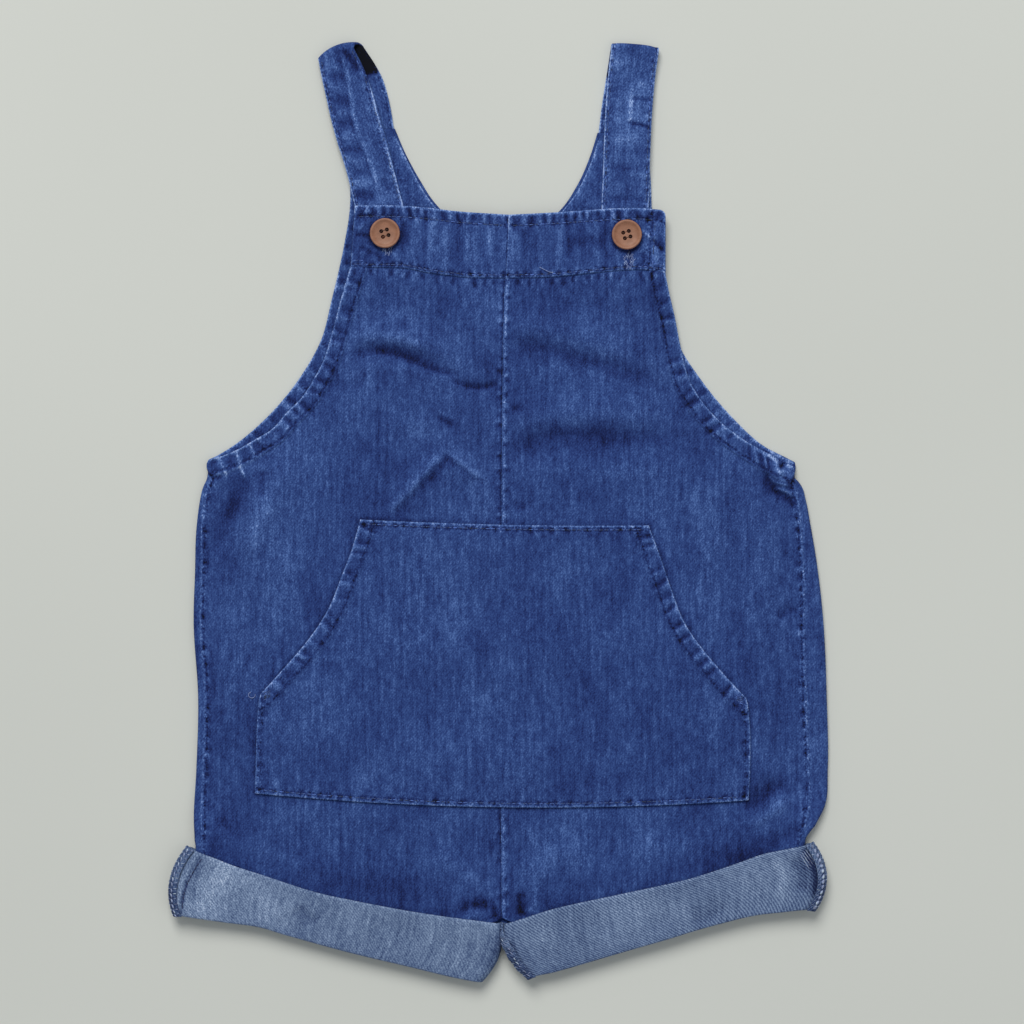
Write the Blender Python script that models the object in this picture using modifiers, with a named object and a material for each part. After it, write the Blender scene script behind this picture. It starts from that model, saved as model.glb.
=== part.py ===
"""Baby's short denim dungarees, laid flat on their back with the bib facing up.

Lengths are millimetres until an object is made, which is in metres. +Z points up from the surface
that the garment lies on, +Y runs from the cuffs to the straps, and the origin is on the surface at
the middle of the garment. "Left" is the side at -X.
"""

import math

import bmesh
import bpy
import numpy as np

NAME = "overalls"
MM = 0.001

# Driving dimensions
CLOTH = 1.1  # one layer of denim
HEM = 2.2  # a turned hem, a band or a cuff is two layers
HEM_WIDTH = 8.0
SIDE_ROWS = 17
STRAP = 1.6  # a strap's doubled ribbon, pressed
FACING = 1.0
LAYER_GAP = 0.35  # between two layers that rest on each other
SEAM_GAP = 0.38  # between two pieces that a seam joins
WRAP_RADIUS = 1.75  # outer radius of the side edges, where the back turns to the front
CUFF_HEIGHT = 9.0  # a cuff's ring, flattened
CUFF_STATIONS = 14
ALLOWANCE_GAP = 0.47  # a seam allowance lies this far above its cuff
CUFF_FLOOR = 2.6  # the back of a leg lies this high inside its cuff
CUFF_RAMP = 22.0  # the legs climb into the cuffs over this length
CUFF_TUCK = 9.0  # and are level this far above a cuff's edge
ARMHOLE_REST = 2.1  # underside of the front along the armholes
SIDE_REST = 2 * WRAP_RADIUS - CLOTH  # underside of the front along the side seams
PUFF = 1.9  # the front stands this much higher away from its edges
PUFF_WIDTH = 36.0
FOLD_FADE = 7.0  # folds fade out this near the front's edges
TROUGH_GAP = 0.4  # the deepest trough stays this far above the back
FOLD_TAPER = 0.3  # share of a fold's length that fades at each end
HOLE_BEARING = 30.0  # of the first hole round a button, in degrees
BAND_REST = 4.8  # underside of the bib band, over the strap ends
BAND_SAG = 1.0  # and lower between the straps
BAND_RAMP = 30.0
FACING_REST = CLOTH + 0.3
STRAP_FRONT = FACING_REST + FACING + LAYER_GAP + STRAP / 2  # mid height of a strap's front layer
STRAP_BACK = STRAP / 2
BUTTON_RADIUS = 7.5
BUTTON_HOLE = 1.0
DRILL_LENGTH = 9.0
BUTTON_HOLE_RING = 1.75  # from the button's centre to each hole's centre

# Waves of the puckered hems, counted along each edge
ARMHOLE_WAVES = {"left": 14, "right": 12}
POCKET_WAVES = 11
BAND_WAVES = 10
WAVE_RISE = 0.42
WAVE_IN = 0.4

SIDES = {"left": -1, "right": 1}


def table(columns, *rows):
    """The rows of a table as one array for each named column."""
    values = np.array(rows, float)
    return {name: values[:, i] for i, name in enumerate(columns.split())}


# The centre front seam, from the top of the bib to the crotch
CENTRE = table(
    "y x",
    (-206, 1.9),
    (-148, 1.6),
    (-7, 1.75),
    (46, 2.05),
    (90, 2.6),
    (122, 3.75),
    (145, 4.8),
    (150, 5.25),
)
CENTRE_BACK_X = 0.9
ROWS_IN_CUFF = 4
CROTCH_Y = -199.0  # below this the legs part, to lie inside their cuffs
CROTCH_EASE = 5.0
CROTCH_PART = 5.0
CROTCH_SPREAD = {"left": 0.3, "right": 0.42}  # and they part further for each millimetre down

# Each front's armhole edge, from the band to the underarm, and where its row meets the centre seam
ARMHOLE = {
    "left": table(
        "edge_x edge_y centre_y",
        (-73.9, 121.8, 116.4),
        (-78.75, 106, 105),
        (-82.25, 93.3, 96),
        (-84.75, 84.5, 89.8),
        (-87.75, 75.5, 83.3),
        (-91.75, 67.8, 77.4),
        (-98.25, 57.5, 69.1),
        (-105.75, 50, 61.8),
        (-113.25, 41.5, 54.1),
        (-122.25, 36, 46.9),
        (-130, 31.5, 40.7),
        (-138.25, 28, 34.6),
        (-144.75, 26, 30),
    ),
    "right": table(
        "edge_x edge_y centre_y",
        (83.3, 118.3, 116.4),
        (85.75, 107, 107.5),
        (88.25, 97, 100),
        (90.75, 84.5, 91),
        (95.75, 65.5, 77),
        (102.25, 54.8, 67.5),
        (112.25, 44, 56.5),
        (122.25, 36.5, 47.5),
        (132.25, 30, 38.5),
        (140.5, 25.3, 31),
        (146.5, 22.5, 26),
    ),
}

# The side edges from the underarm down into the cuff: the outline, the side seam on the front, and
# the row's end at the centre. The last rows, inside the cuff, are rows of the cloth as they stand.
SIDE = {
    "left": table(
        "y outer_x seam_x centre_y",
        (17, -146.9, -144.5, 21),
        (8.5, -149, -146.5, 10),
        (-7.5, -151.2, -148.4, -8),
        (-30.5, -152, -148.6, -34),
        (-53.5, -152.7, -149.2, -60),
        (-94, -150.4, -146.9, -106),
        (-128.5, -151.3, -147.6, -146),
        (-152, -152.4, -148.6, -178),
        (-164, -151.9, -148.2, -199),
        (-167.5, -151.4, -147.8, -204),
        (-173, -152.0, -148.4, -209.5),
        (-183, -152.4, -148.8, -219),
        (-196, -153, -149.2, -229),
    ),
    "right": table(
        "y outer_x seam_x centre_y",
        (14, 150.8, 147.8, 16.5),
        (8, 153.2, 149.4, 9),
        (-7.5, 156.4, 151.2, -8),
        (-34.5, 160.6, 152.8, -37),
        (-54, 162.6, 152.9, -60),
        (-94, 164.4, 153.8, -106),
        (-128, 164.9, 155.3, -146),
        (-146, 163.6, 155.4, -178),
        (-157, 158.2, 153.2, -199),
        (-163.4, 153.5, 150.2, -204),
        (-170, 153.2, 149.8, -210),
        (-181, 153.4, 150, -220),
        (-195, 153.6, 150.2, -228.5),
    ),
}

# Each back's upper part, from the strap wing to the underarm: its outer edge, and the neckline that
# becomes the centre back seam
WING = {
    "left": table(
        "outer_x outer_y inner_x inner_y",
        (-76.2, 192, -52.3, 192),
        (-75.4, 180, -47.2, 180),
        (-74.5, 164.5, -38.7, 164.5),
        (-74.3, 156, -33.2, 156),
        (-75.2, 146, -23.5, 146.5),
        (-76.6, 138, -11, 139),
        (-78, 130.5, CENTRE_BACK_X, 137),
        (-83.7, 106, CENTRE_BACK_X, 113),
        (-88.6, 87, CENTRE_BACK_X, 94),
        (-99.2, 67.8, CENTRE_BACK_X, 75),
        (-116, 47.5, CENTRE_BACK_X, 54),
        (-132.4, 33.5, CENTRE_BACK_X, 38),
        (-145.6, 25.5, CENTRE_BACK_X, 27),
    ),
    "right": table(
        "outer_x outer_y inner_x inner_y",
        (74.2, 190, 50, 190),
        (75.4, 178, 46.2, 178),
        (76.4, 164, 40, 164),
        (76.8, 152, 32, 152),
        (77.6, 143, 23, 144),
        (79.2, 134, 11, 139),
        (81.2, 125.5, CENTRE_BACK_X, 137),
        (84.8, 106, CENTRE_BACK_X, 113),
        (90.3, 84, CENTRE_BACK_X, 94),
        (101.3, 66.5, CENTRE_BACK_X, 75),
        (117.5, 47, CENTRE_BACK_X, 54),
        (134, 32, CENTRE_BACK_X, 38),
        (147.6, 24, CENTRE_BACK_X, 27),
    ),
}

# The neck facing, a horseshoe from one strap wing to the other
FACING_SECTIONS = table(
    "outer_x outer_y inner_x inner_y",
    (-74.8, 188, -51.5, 188),
    (-74.2, 178, -47.2, 179),
    (-73.2, 164, -39.5, 164),
    (-71, 146, -33.5, 155),
    (-50, 131, -24.5, 146),
    (-26, 123, -11, 138.4),
    (1, 120, 1, 136.4),
    (28, 123, 12, 138.4),
    (52, 131, 24, 143.6),
    (71.5, 145, 33, 151.8),
    (75, 163, 41, 163.4),
    (74, 177, 47, 177),
    (73.4, 186, 49.8, 186),
)

# Each half of the bib band, from the armhole to the centre seam
BAND = {
    "left": table(
        "top_x top_y bottom_x bottom_y",
        (-71.8, 153, -73.9, 122.1),
        (-60, 153.2, -60, 122),
        (-48.3, 152.9, -46.7, 121.6),
        (-35, 151.9, -35.4, 119.4),
        (-22.8, 150.5, -20, 117.5),
        (5.1, 148.6, 3.55, 116.7),
    ),
    "right": table(
        "top_x top_y bottom_x bottom_y",
        (83.3, 149.2, 83.3, 118.7),
        (79.3, 151, 77, 120.4),
        (60.3, 151.7, 60.5, 120.4),
        (45, 150.8, 45, 119),
        (29.8, 149.8, 29.3, 117.5),
        (5.4, 148.6, 3.85, 116.7),
    ),
}

# Levels of the band: how far down, the share of the puckers' height, and their share in its outline
BAND_MIDDLE_RISE = 0.25
BAND_LEVELS = (
    (0, 1, 0.3),
    (0.1, 0.7, 0),
    (0.22, 0.15, 0),
    (0.6, BAND_MIDDLE_RISE, 0),
    (0.86, 0.1, 0),
    (1, 0.45, 0),
)

# The pocket, from its top edge to its bottom edge; sag lowers the middle of a row
POCKET = table(
    "left_x left_y right_x right_y sag",
    (-69, -3.7, 75, -6.7, 1.2),
    (-73.2, -18.5, 80.5, -21.5, 1.5),
    (-78.3, -32, 85.8, -37, 2),
    (-85.3, -49, 92.8, -55, 2.4),
    (-94.8, -63.5, 102, -68.5, 2.8),
    (-105.8, -76.5, 113.3, -81.8, 3.2),
    (-119.4, -91.5, 124.2, -93.5, 3.6),
    (-120.6, -105, 125.6, -107, 4),
    (-121.2, -122, 125.8, -124, 4.6),
    (-121.6, -140.5, 125, -144, 5.2),
)
POCKET_OPENING_ROWS = 7  # the first rows lie along the curved openings

# Rulings of the straps, as the two ends of each. A strap runs from its end behind the band over the
# loop at the top, which is worked out between the two tables, to its end at the back wing.
STRAP_OVER = {
    "left": table(
        "left_x left_y left_z right_x right_y right_z",
        (-65, 127.5, STRAP_FRONT, -41, 129, STRAP_FRONT),
        (-71.6, 152, STRAP_FRONT, -47.4, 153, STRAP_FRONT),
        (-76.6, 172, STRAP_FRONT, -52.4, 172, STRAP_FRONT),
        (-80.4, 184, STRAP_FRONT, -55.2, 184, STRAP_FRONT),
        (-84.2, 198, 3.1, -59.4, 198, 3.3),
        (-86.6, 209, 2.9, -62.4, 209, 3.1),
        (-88.8, 218.8, 2.9, -65.9, 220.6, 4),
        (-90, 225.4, 2.9, -70.7, 231.1, 5.6),
    ),
    "right": table(
        "left_x left_y left_z right_x right_y right_z",
        (50.8, 126.5, STRAP_FRONT, 75, 126.5, STRAP_FRONT),
        (51.5, 151.5, STRAP_FRONT, 75.2, 151.5, STRAP_FRONT),
        (52.3, 172, STRAP_FRONT, 75.7, 172, STRAP_FRONT),
        (52.9, 189, STRAP_FRONT, 76.3, 189, STRAP_FRONT),
        (53.6, 203, 3.3, 77.1, 203, 3.3),
        (54.7, 217, 3.1, 78.4, 217, 3.1),
        (56.4, 232.3, 3.6, 80.2, 230.2, 3.9),
    ),
}
STRAP_UNDER = {
    "left": table(
        "left_x left_y left_z right_x right_y right_z",
        (-88.2, 226.2, STRAP_BACK, -67.4, 232.6, STRAP_BACK),
        (-84, 218, STRAP_BACK, -62.2, 224.8, STRAP_BACK),
        (-80.4, 209, STRAP_BACK, -57.8, 216.4, STRAP_BACK),
        (-77.4, 200, STRAP_BACK, -54.4, 204, STRAP_BACK),
        (-76.2, 192.4, STRAP_BACK, -52.3, 192.4, STRAP_BACK),
    ),
    "right": table(
        "left_x left_y left_z right_x right_y right_z",
        (56.2, 232.3, STRAP_BACK, 79.8, 230, STRAP_BACK),
        (54, 218, STRAP_BACK, 77.8, 217, STRAP_BACK),
        (51.8, 204, STRAP_BACK, 75.8, 204, STRAP_BACK),
        (50, 190.4, STRAP_BACK, 74.2, 190.4, STRAP_BACK),
    ),
}

# The cuffs, from the outer end to the crotch end; bulge moves the middle of a section along X
CUFF = {
    "left": table(
        "top_x top_y bottom_x bottom_y bulge",
        (-155, -167, -161.6, -201, -5.2),
        (-148, -171, -150, -203.3, -2),
        (-138.8, -174.2, -127.3, -206, 0),
        (-115.3, -181.9, -103.3, -212, 0),
        (-91.8, -189.5, -73.8, -220, 0),
        (-68.3, -194.6, -44.3, -227, 0),
        (-44.3, -199.1, -28, -231, 0.6),
        (-20.8, -202.6, -16, -233.8, 2),
        (1.3, -205.4, -8.6, -235.1, 3.4),
    ),
    "right": table(
        "top_x top_y bottom_x bottom_y bulge",
        (156.6, -165.4, 157.6, -198.2, 6),
        (148, -167.6, 148, -198.6, 2),
        (132.3, -170.6, 129, -201.2, 0),
        (120.8, -174.6, 108.8, -206, 0),
        (96.8, -182.6, 85.3, -213, 0),
        (73.3, -188, 63, -219.4, 0),
        (49.8, -193, 42, -225.6, 0),
        (26.3, -198.3, 26.3, -230, -1.6),
        (2.6, -206, 15.2, -232, -4.9),
    ),
}

# The largest folds of the front: a quadratic bend from start through mid to end, how high it stands
# (below zero for a trough) and its half width
FOLDS = table(
    "start_x start_y mid_x mid_y end_x end_y height width",
    (-73, 82, -52, 88, -18, 74, 2, 8),
    (-73, 75, -55, 80.5, -20, 67.5, -1.6, 4.5),
    (-22, 64.5, -11, 61.5, -1, 63.5, -1, 4),
    (5, 89, 30, 87, 84, 70, 1.9, 10),
    (5, 81, 31, 79, 84, 60, -1.5, 7),
    (5, 39, 35, 48, 92, 44, 1.9, 10),
    (5, 29, 36, 36, 92, 33, -1.4, 8),
    (-27, 29, -40, 15, -52, 1, 1.5, 7),
    (-26, 28, -18, 22, -11, 15, 1.2, 6),
    (-116, 22, -135, -3, -141, -25, -1.3, 7),
    (-100, 30, -118, 4, -128, -30, 1.4, 9),
    (131, 10, 134, -24, 132, -62, 1.3, 9),
    (112, 24, 118, -8, 116, -40, -0.9, 9),
    (141, -133, 132, -143, 121, -150, -1.3, 6),
    (144, -140, 135, -150, 124, -157, 1.3, 6),
    (-60, -118, -10, -126, 60, -120, 0.8, 14),
    (-60, -60, 0, -70, 70, -58, 0.8, 16),
    (-136, -60, -134, -90, -138, -120, 1.1, 9),
    (-40, -168, -20, -180, 0, -186, 1.1, 8),
    (131, 27, 141, 21, 145, 9, 2.4, 6),
    (126, 20, 134, 14, 138, 4, -1.2, 5),
    (-144, 25, -141, 20, -143, 12, 1.6, 5),
    (6, -186, 26, -176, 46, -170, 1.1, 8),
)
FOLD_STEPS = 12

# A button's half section, from the middle of its top over the rim to the middle of its underside
BUTTON_PROFILE = (
    (0, 2.1),
    (4.4, 2.1),
    (5.3, 2.5),
    (6.0, 2.95),
    (6.9, 2.95),
    (7.4, 2.55),
    (BUTTON_RADIUS, 1.9),
    (7.2, 0.7),
    (6.4, 0),
    (0, 0),
)
BUTTONS = {"left": (-56.6, 139), "right": (64, 138.3)}

COLOURS = {
    "denim": ((0.032, 0.068, 0.205, 1), 0.85),
    "denim_wrong_side": ((0.12, 0.17, 0.28, 1), 0.9),
    "button_brown": ((0.43, 0.18, 0.09, 1), 0.45),
}


# Curves and heights


def smooth_step(value):
    value = np.clip(value, 0, 1)
    return value * value * (3 - 2 * value)


def along(columns, count, spaced_by=2):
    """count rows spaced evenly along a smooth curve through the rows of columns.

    The spacing is measured in the first spaced_by columns.
    """
    points = np.stack(columns, axis=1)
    steps = np.linalg.norm(np.diff(points[:, :spaced_by], axis=0), axis=1)
    knots = np.concatenate([[0], np.cumsum(steps)])
    slopes = np.gradient(points, knots, axis=0)
    at = np.linspace(0, knots[-1], count)
    low = np.clip(np.searchsorted(knots, at, side="right") - 1, 0, len(knots) - 2)
    span = (knots[low + 1] - knots[low])[:, None]
    t = (at - knots[low])[:, None] / span
    start, end = points[low], points[low + 1]
    leave, arrive = slopes[low] * span, slopes[low + 1] * span
    return (
        (2 * t**3 - 3 * t**2 + 1) * start
        + (t**3 - 2 * t**2 + t) * leave
        + (3 * t**2 - 2 * t**3) * end
        + (t**3 - t**2) * arrive
    )


def distance_to(path, x, y):
    """How far each point is from a line of points, and how far along it, from 0 to 1."""
    x, y = np.asarray(x, float), np.asarray(y, float)
    best = np.full(x.shape, np.inf)
    share = np.zeros(x.shape)
    steps = len(path) - 1
    for i in range(steps):
        run = path[i + 1] - path[i]
        t = ((x - path[i, 0]) * run[0] + (y - path[i, 1]) * run[1]) / (run @ run)
        t = np.clip(t, 0, 1)
        away = np.hypot(x - path[i, 0] - t * run[0], y - path[i, 1] - t * run[1])
        share = np.where(away < best, (i + t) / steps, share)
        best = np.minimum(best, away)
    return best, share


def centre_x(y):
    return np.interp(y, CENTRE["y"], CENTRE["x"])


def parting(side, y):
    """How far a leg's inner edge lies from the centre seam's line, below the crotch."""
    below = np.maximum(CROTCH_Y - y, 0)
    return CROTCH_PART * smooth_step(below / CROTCH_EASE) + CROTCH_SPREAD[side] * below


def cuff_edge(x):
    """The y of the cuffs' upper edge."""
    xs = np.concatenate([CUFF["left"]["top_x"], CUFF["right"]["top_x"][::-1]])
    ys = np.concatenate([CUFF["left"]["top_y"], CUFF["right"]["top_y"][::-1]])
    return np.interp(x, xs, ys)


def in_cuff(x, y):
    """1 in the cuffs and just above them, falling to 0 where the legs lie on the surface."""
    return 1 - smooth_step((y - cuff_edge(x) - CUFF_TUCK) / CUFF_RAMP)


def front_edges():
    """The two outer edges of the front, from the band to the cuffs."""
    edges = []
    for side in SIDES:
        arm, down = ARMHOLE[side], SIDE[side]
        upper = np.stack([arm["edge_x"], arm["edge_y"]], axis=1)
        lower = np.stack([down["seam_x"], down["y"]], axis=1)
        edges.append(np.concatenate([upper, lower]))
    return edges


def fold_height(x, y):
    """The front's folds, as soft ridges and troughs that fade out at their ends."""
    total = np.zeros(np.shape(x))
    t = np.linspace(0, 1, FOLD_STEPS)[:, None]
    start, mid, end = (
        np.stack([FOLDS[place + "_x"], FOLDS[place + "_y"]], axis=1) for place in ("start", "mid", "end")
    )
    bend = 2 * mid - (start + end) / 2
    for i in range(len(start)):
        path = (1 - t) ** 2 * start[i] + 2 * t * (1 - t) * bend[i] + t**2 * end[i]
        away, share = distance_to(path, x, y)
        ends = smooth_step(share / FOLD_TAPER) * smooth_step((1 - share) / FOLD_TAPER)
        bell = np.exp(-((away / FOLDS["width"][i]) ** 2))
        total += FOLDS["height"][i] * (0.25 + 0.75 * ends) * bell
    return total


def front_under(x, y):
    """The height of the front's underside above the surface."""
    inward = np.minimum(*(distance_to(edge, x, y)[0] for edge in front_edges()))
    low = ARMHOLE_REST + (SIDE_REST - ARMHOLE_REST) * smooth_step((30 - y) / 12)
    cuff = in_cuff(x, y)
    free = smooth_step(inward / PUFF_WIDTH)
    folds = fold_height(x, y) * smooth_step(inward / FOLD_FADE)
    height = low + (PUFF * free + folds) * (1 - cuff)
    height = np.maximum(height, CLOTH + TROUGH_GAP) + CUFF_FLOOR * cuff
    band = 1 - smooth_step((121 - y) / BAND_RAMP)
    return height + (band_under(x) - height) * band


def band_stations(side):
    """Upper and lower edge of half the band, at even steps from the armhole to the centre seam."""
    names = ("top_x", "top_y", "bottom_x", "bottom_y")
    return along([BAND[side][name] for name in names], 3 * BAND_WAVES + 4)


def band_foot(side, x):
    """The y of the band's lower edge, where the front is sewn to it."""
    stations = band_stations(side)
    order = np.argsort(stations[:, 2])
    return np.interp(x, stations[order, 2], stations[order, 3])


def band_under(x):
    """The height of the bib band's underside, lower in the middle than over the straps."""
    return BAND_REST - BAND_SAG * smooth_step((42 - np.abs(np.asarray(x) - 4)) / 24)


def wave(share, count, seed):
    """An uneven wave along an edge: its count of crests, with spacing and height that vary."""
    phase = 2 * math.pi * count * share + 0.9 * np.sin(5.3 * share * count / 4 + seed)
    return np.sin(phase) * (0.75 + 0.25 * np.sin(2.1 * share * count + 2 * seed))


def columns_between(start, end, hem_at_end, inner):
    """Fractions across a row: two hem columns at its start, and at its end if it has a hem there."""
    length = np.linalg.norm(end - start)
    near = np.array([0, 0.45, 1]) * HEM_WIDTH / length
    last = 1 - near[-1] if hem_at_end else 1
    middle = np.linspace(near[-1], last, inner + 1)[1:]
    tail = 1 - near[-2::-1] if hem_at_end else []
    return np.concatenate([near, middle, tail])


# Objects


def metres(points):
    return [tuple(float(value) * MM for value in point) for point in points]


def material(name):
    """A piece's own material, with a colour from the list."""
    colour, roughness = COLOURS[name]
    made = bpy.data.materials.new(name)
    made.use_nodes = True
    shader = made.node_tree.nodes["Principled BSDF"]
    shader.inputs["Base Color"].default_value = colour
    shader.inputs["Roughness"].default_value = roughness
    shader.inputs["Metallic"].default_value = 0
    made.diffuse_color = colour
    return made


def collection(name):
    made = bpy.data.collections.new(name)
    bpy.context.scene.collection.children.link(made)
    return made


def grid_mesh(name, rows, closed=False, flip=False):
    """A surface through rows of points. Where two rows differ in length, it spans the shorter."""
    mesh = bpy.data.meshes.new(name)
    form = bmesh.new()
    lines = [[form.verts.new(point) for point in metres(row)] for row in rows]
    for upper, lower in zip(lines, lines[1:]):
        width = min(len(upper), len(lower))
        cells = range(width) if closed else range(width - 1)
        for i in cells:
            j = (i + 1) % width
            corners = [upper[i], upper[j], lower[j], lower[i]]
            form.faces.new(corners[::-1] if flip else corners)
    form.to_mesh(mesh)
    form.free()
    mesh.shade_smooth()
    return mesh


def cloth_object(
    parts, name, rows, look, thickness=CLOTH, side=1, doubled=None, closed=False, flip=False
):
    """A wall of cloth: an open surface with Solidify.

    side is 1 where the wall lies outside the surface, -1 inside and 0 on both sides of it. doubled
    marks each point of a turned hem, where the wall is two layers thick.
    """
    mesh = grid_mesh(name, rows, closed, flip)
    mesh.materials.append(material(look))
    piece = bpy.data.objects.new(name, mesh)
    parts.objects.link(piece)
    wall = piece.modifiers.new("wall", "SOLIDIFY")
    wall.thickness = thickness * MM
    wall.offset = side
    wall.use_even_offset = True
    if doubled is not None:
        group = piece.vertex_groups.new(name="hem")
        flat = np.concatenate(doubled)
        group.add([int(i) for i in np.nonzero(flat)[0]], 1.0, "REPLACE")
        wall.vertex_group = "hem"
        wall.thickness = HEM * MM
        wall.thickness_vertex_group = CLOTH / HEM
    return piece


# The panels


def side_rows(side):
    """Rows from the underarm into the cuff, at the same heights on the front and the back."""
    columns = [SIDE[side][name] for name in ("outer_x", "y", "seam_x", "centre_y")]
    body = along([column[:-ROWS_IN_CUFF] for column in columns], SIDE_ROWS)
    return np.concatenate([body, np.stack(columns, axis=1)[-ROWS_IN_CUFF:]])


def make_front(parts, side):
    """A front from the band to the cuff, with its puckered armhole hem."""
    sign = SIDES[side]
    arm = ARMHOLE[side]
    upper = along([arm["edge_x"], arm["edge_y"], arm["centre_y"]], 3 * ARMHOLE_WAVES[side])
    rows, hems = [], []
    sections = []
    first_y, last_y = upper[0, 1], upper[0, 2]
    for i, (x, y, middle) in enumerate(upper):
        sections.append((x, y, centre_x(middle), middle, i / (len(upper) - 1)))
    for _, y, x, middle in side_rows(side):
        middle_x = centre_x(middle) + sign * parting(side, middle)
        sections.append((x - sign * SEAM_GAP / 2, y, middle_x, middle, None))
    for x, y, middle_x, middle_y, share in sections:
        start = np.array([x, y])
        end = np.array([middle_x + sign * SEAM_GAP / 2, middle_y])
        at = columns_between(start, end, False, 8)
        points = start + at[:, None] * (end - start)
        if share is not None:
            foot = band_foot(side, points[:, 0]) - SEAM_GAP - first_y - at * (last_y - first_y)
            points[:, 1] += foot * (1 - smooth_step(share / 0.3))
        height = front_under(points[:, 0], points[:, 1])
        hem = np.zeros(len(at), bool)
        if share is not None:
            hem[:3] = True
            fade = 1 - smooth_step(at * np.linalg.norm(end - start) / (1.6 * HEM_WIDTH))
            ripple = wave(share, ARMHOLE_WAVES[side], sign) * smooth_step(share * 12)
            height += WAVE_RISE * ripple * fade
            points[:, 0] -= sign * WAVE_IN * (1 - ripple) * fade
        rows.append(np.column_stack([points, height]))
        hems.append(hem)
    cloth_object(parts, f"front_{side}", rows, "denim", doubled=hems, flip=sign < 0)


def make_back(parts, side):
    """A back from its strap wing to the cuff, whose side edge wraps round to the front."""
    sign = SIDES[side]
    wing = WING[side]
    flat = np.linspace(0, 1, 7)[:, None]
    wing_columns = [wing[name] for name in ("outer_x", "outer_y", "inner_x", "inner_y")]
    rows = []
    for x, y, inner_x, inner_y in along(wing_columns, 18):
        inner_x = sign * max(sign * inner_x, sign * CENTRE_BACK_X)
        inner = np.array([inner_x + sign * SEAM_GAP / 2, inner_y])
        points = inner + flat * (np.array([x, y]) - inner)
        rows.append(np.column_stack([points, np.zeros(len(points))]))
    turn = np.radians(np.linspace(-90, 90, 7))[1:]
    for x, y, seam, middle in side_rows(side):
        inner = np.array([CENTRE_BACK_X + sign * (SEAM_GAP / 2 + parting(side, middle)), middle])
        edge = np.array([x - sign * WRAP_RADIUS, y])
        points = inner + flat * (edge - inner)
        points = np.column_stack([points, np.zeros(len(points))])
        arc_x = edge[0] + sign * WRAP_RADIUS * np.cos(turn)
        arc_z = WRAP_RADIUS * (1 + np.sin(turn))
        arc = np.column_stack([arc_x, np.full(len(turn), y), arc_z])
        seam_end = (seam + sign * SEAM_GAP / 2, y, 2 * WRAP_RADIUS)
        points = np.concatenate([points, arc, [seam_end]])
        points[:, 2] += CUFF_FLOOR * in_cuff(points[:, 0], points[:, 1])
        rows.append(points)
    cloth_object(parts, f"back_{side}", rows, "denim", side=-1, flip=sign < 0)


def make_facing(parts):
    names = ("outer_x", "outer_y", "inner_x", "inner_y")
    rows = []
    for x, y, inner_x, inner_y in along([FACING_SECTIONS[name] for name in names], 19):
        across = np.linspace(0, 1, 4)[:, None]
        points = np.array([x, y]) + across * np.array([inner_x - x, inner_y - y])
        rows.append(np.column_stack([points, np.full(len(points), FACING_REST)]))
    cloth_object(parts, "back_facing", rows, "denim", thickness=FACING, flip=True)


def make_band(parts, side):
    """Half of the doubled bib band, puckered between its top edge and its upper stitching."""
    sign = SIDES[side]
    stations = band_stations(side)
    ripple = wave(np.linspace(0, 1, len(stations)), BAND_WAVES, 2 + sign)
    rows = []
    for down, rise, spread in BAND_LEVELS:
        x = stations[:, 0] + down * (stations[:, 2] - stations[:, 0])
        y = stations[:, 1] + down * (stations[:, 3] - stations[:, 1]) + spread * ripple
        height = band_under(x) + WAVE_RISE * rise * (1 + ripple)
        rows.append(np.column_stack([x, y, height]))
    cloth_object(parts, f"band_{side}", rows, "denim", thickness=HEM, flip=sign < 0)


def make_pocket(parts):
    """The patch pocket, made from the front's points moved out, with its rippled opening hems."""
    names = ("left_x", "left_y", "right_x", "right_y", "sag")
    columns = [POCKET[name] for name in names]
    opening = along([column[:POCKET_OPENING_ROWS] for column in columns], 3 * POCKET_WAVES)
    below = along([column[POCKET_OPENING_ROWS - 1 :] for column in columns], 7)[1:]
    rows, hems = [], []
    for i, (left_x, left_y, right_x, right_y, sag) in enumerate([*opening, *below]):
        start, end = np.array([left_x, left_y]), np.array([right_x, right_y])
        at = columns_between(start, end, True, 10)
        points = start + at[:, None] * (end - start)
        points[:, 1] -= sag * 4 * at * (1 - at)
        height = front_under(points[:, 0], points[:, 1]) + CLOTH + LAYER_GAP + 0.15
        share = min(i / (len(opening) - 1), 1)
        length = np.linalg.norm(end - start)
        for seed, near in ((0.4, at * length), (1.7, (1 - at) * length)):
            fade = (1 - smooth_step(near / (1.4 * HEM_WIDTH))) * (i < len(opening))
            ripple = wave(share, POCKET_WAVES, seed)
            height += WAVE_RISE * (1 + ripple) * fade
        hem = np.zeros(len(at), bool)
        if i < len(opening):
            hem[:3] = True
            hem[-3:] = True
        rows.append(np.column_stack([points, height]))
        hems.append(hem)
    cloth_object(parts, "pocket", rows, "denim", doubled=hems, flip=True)


# The straps


def rulings(runs, count):
    """count rulings along a strap, as the two ends of each."""
    names = ("left_x", "left_y", "left_z", "right_x", "right_y", "right_z")
    return along([runs[name] for name in names], count, spaced_by=6).reshape(-1, 2, 3)


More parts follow.
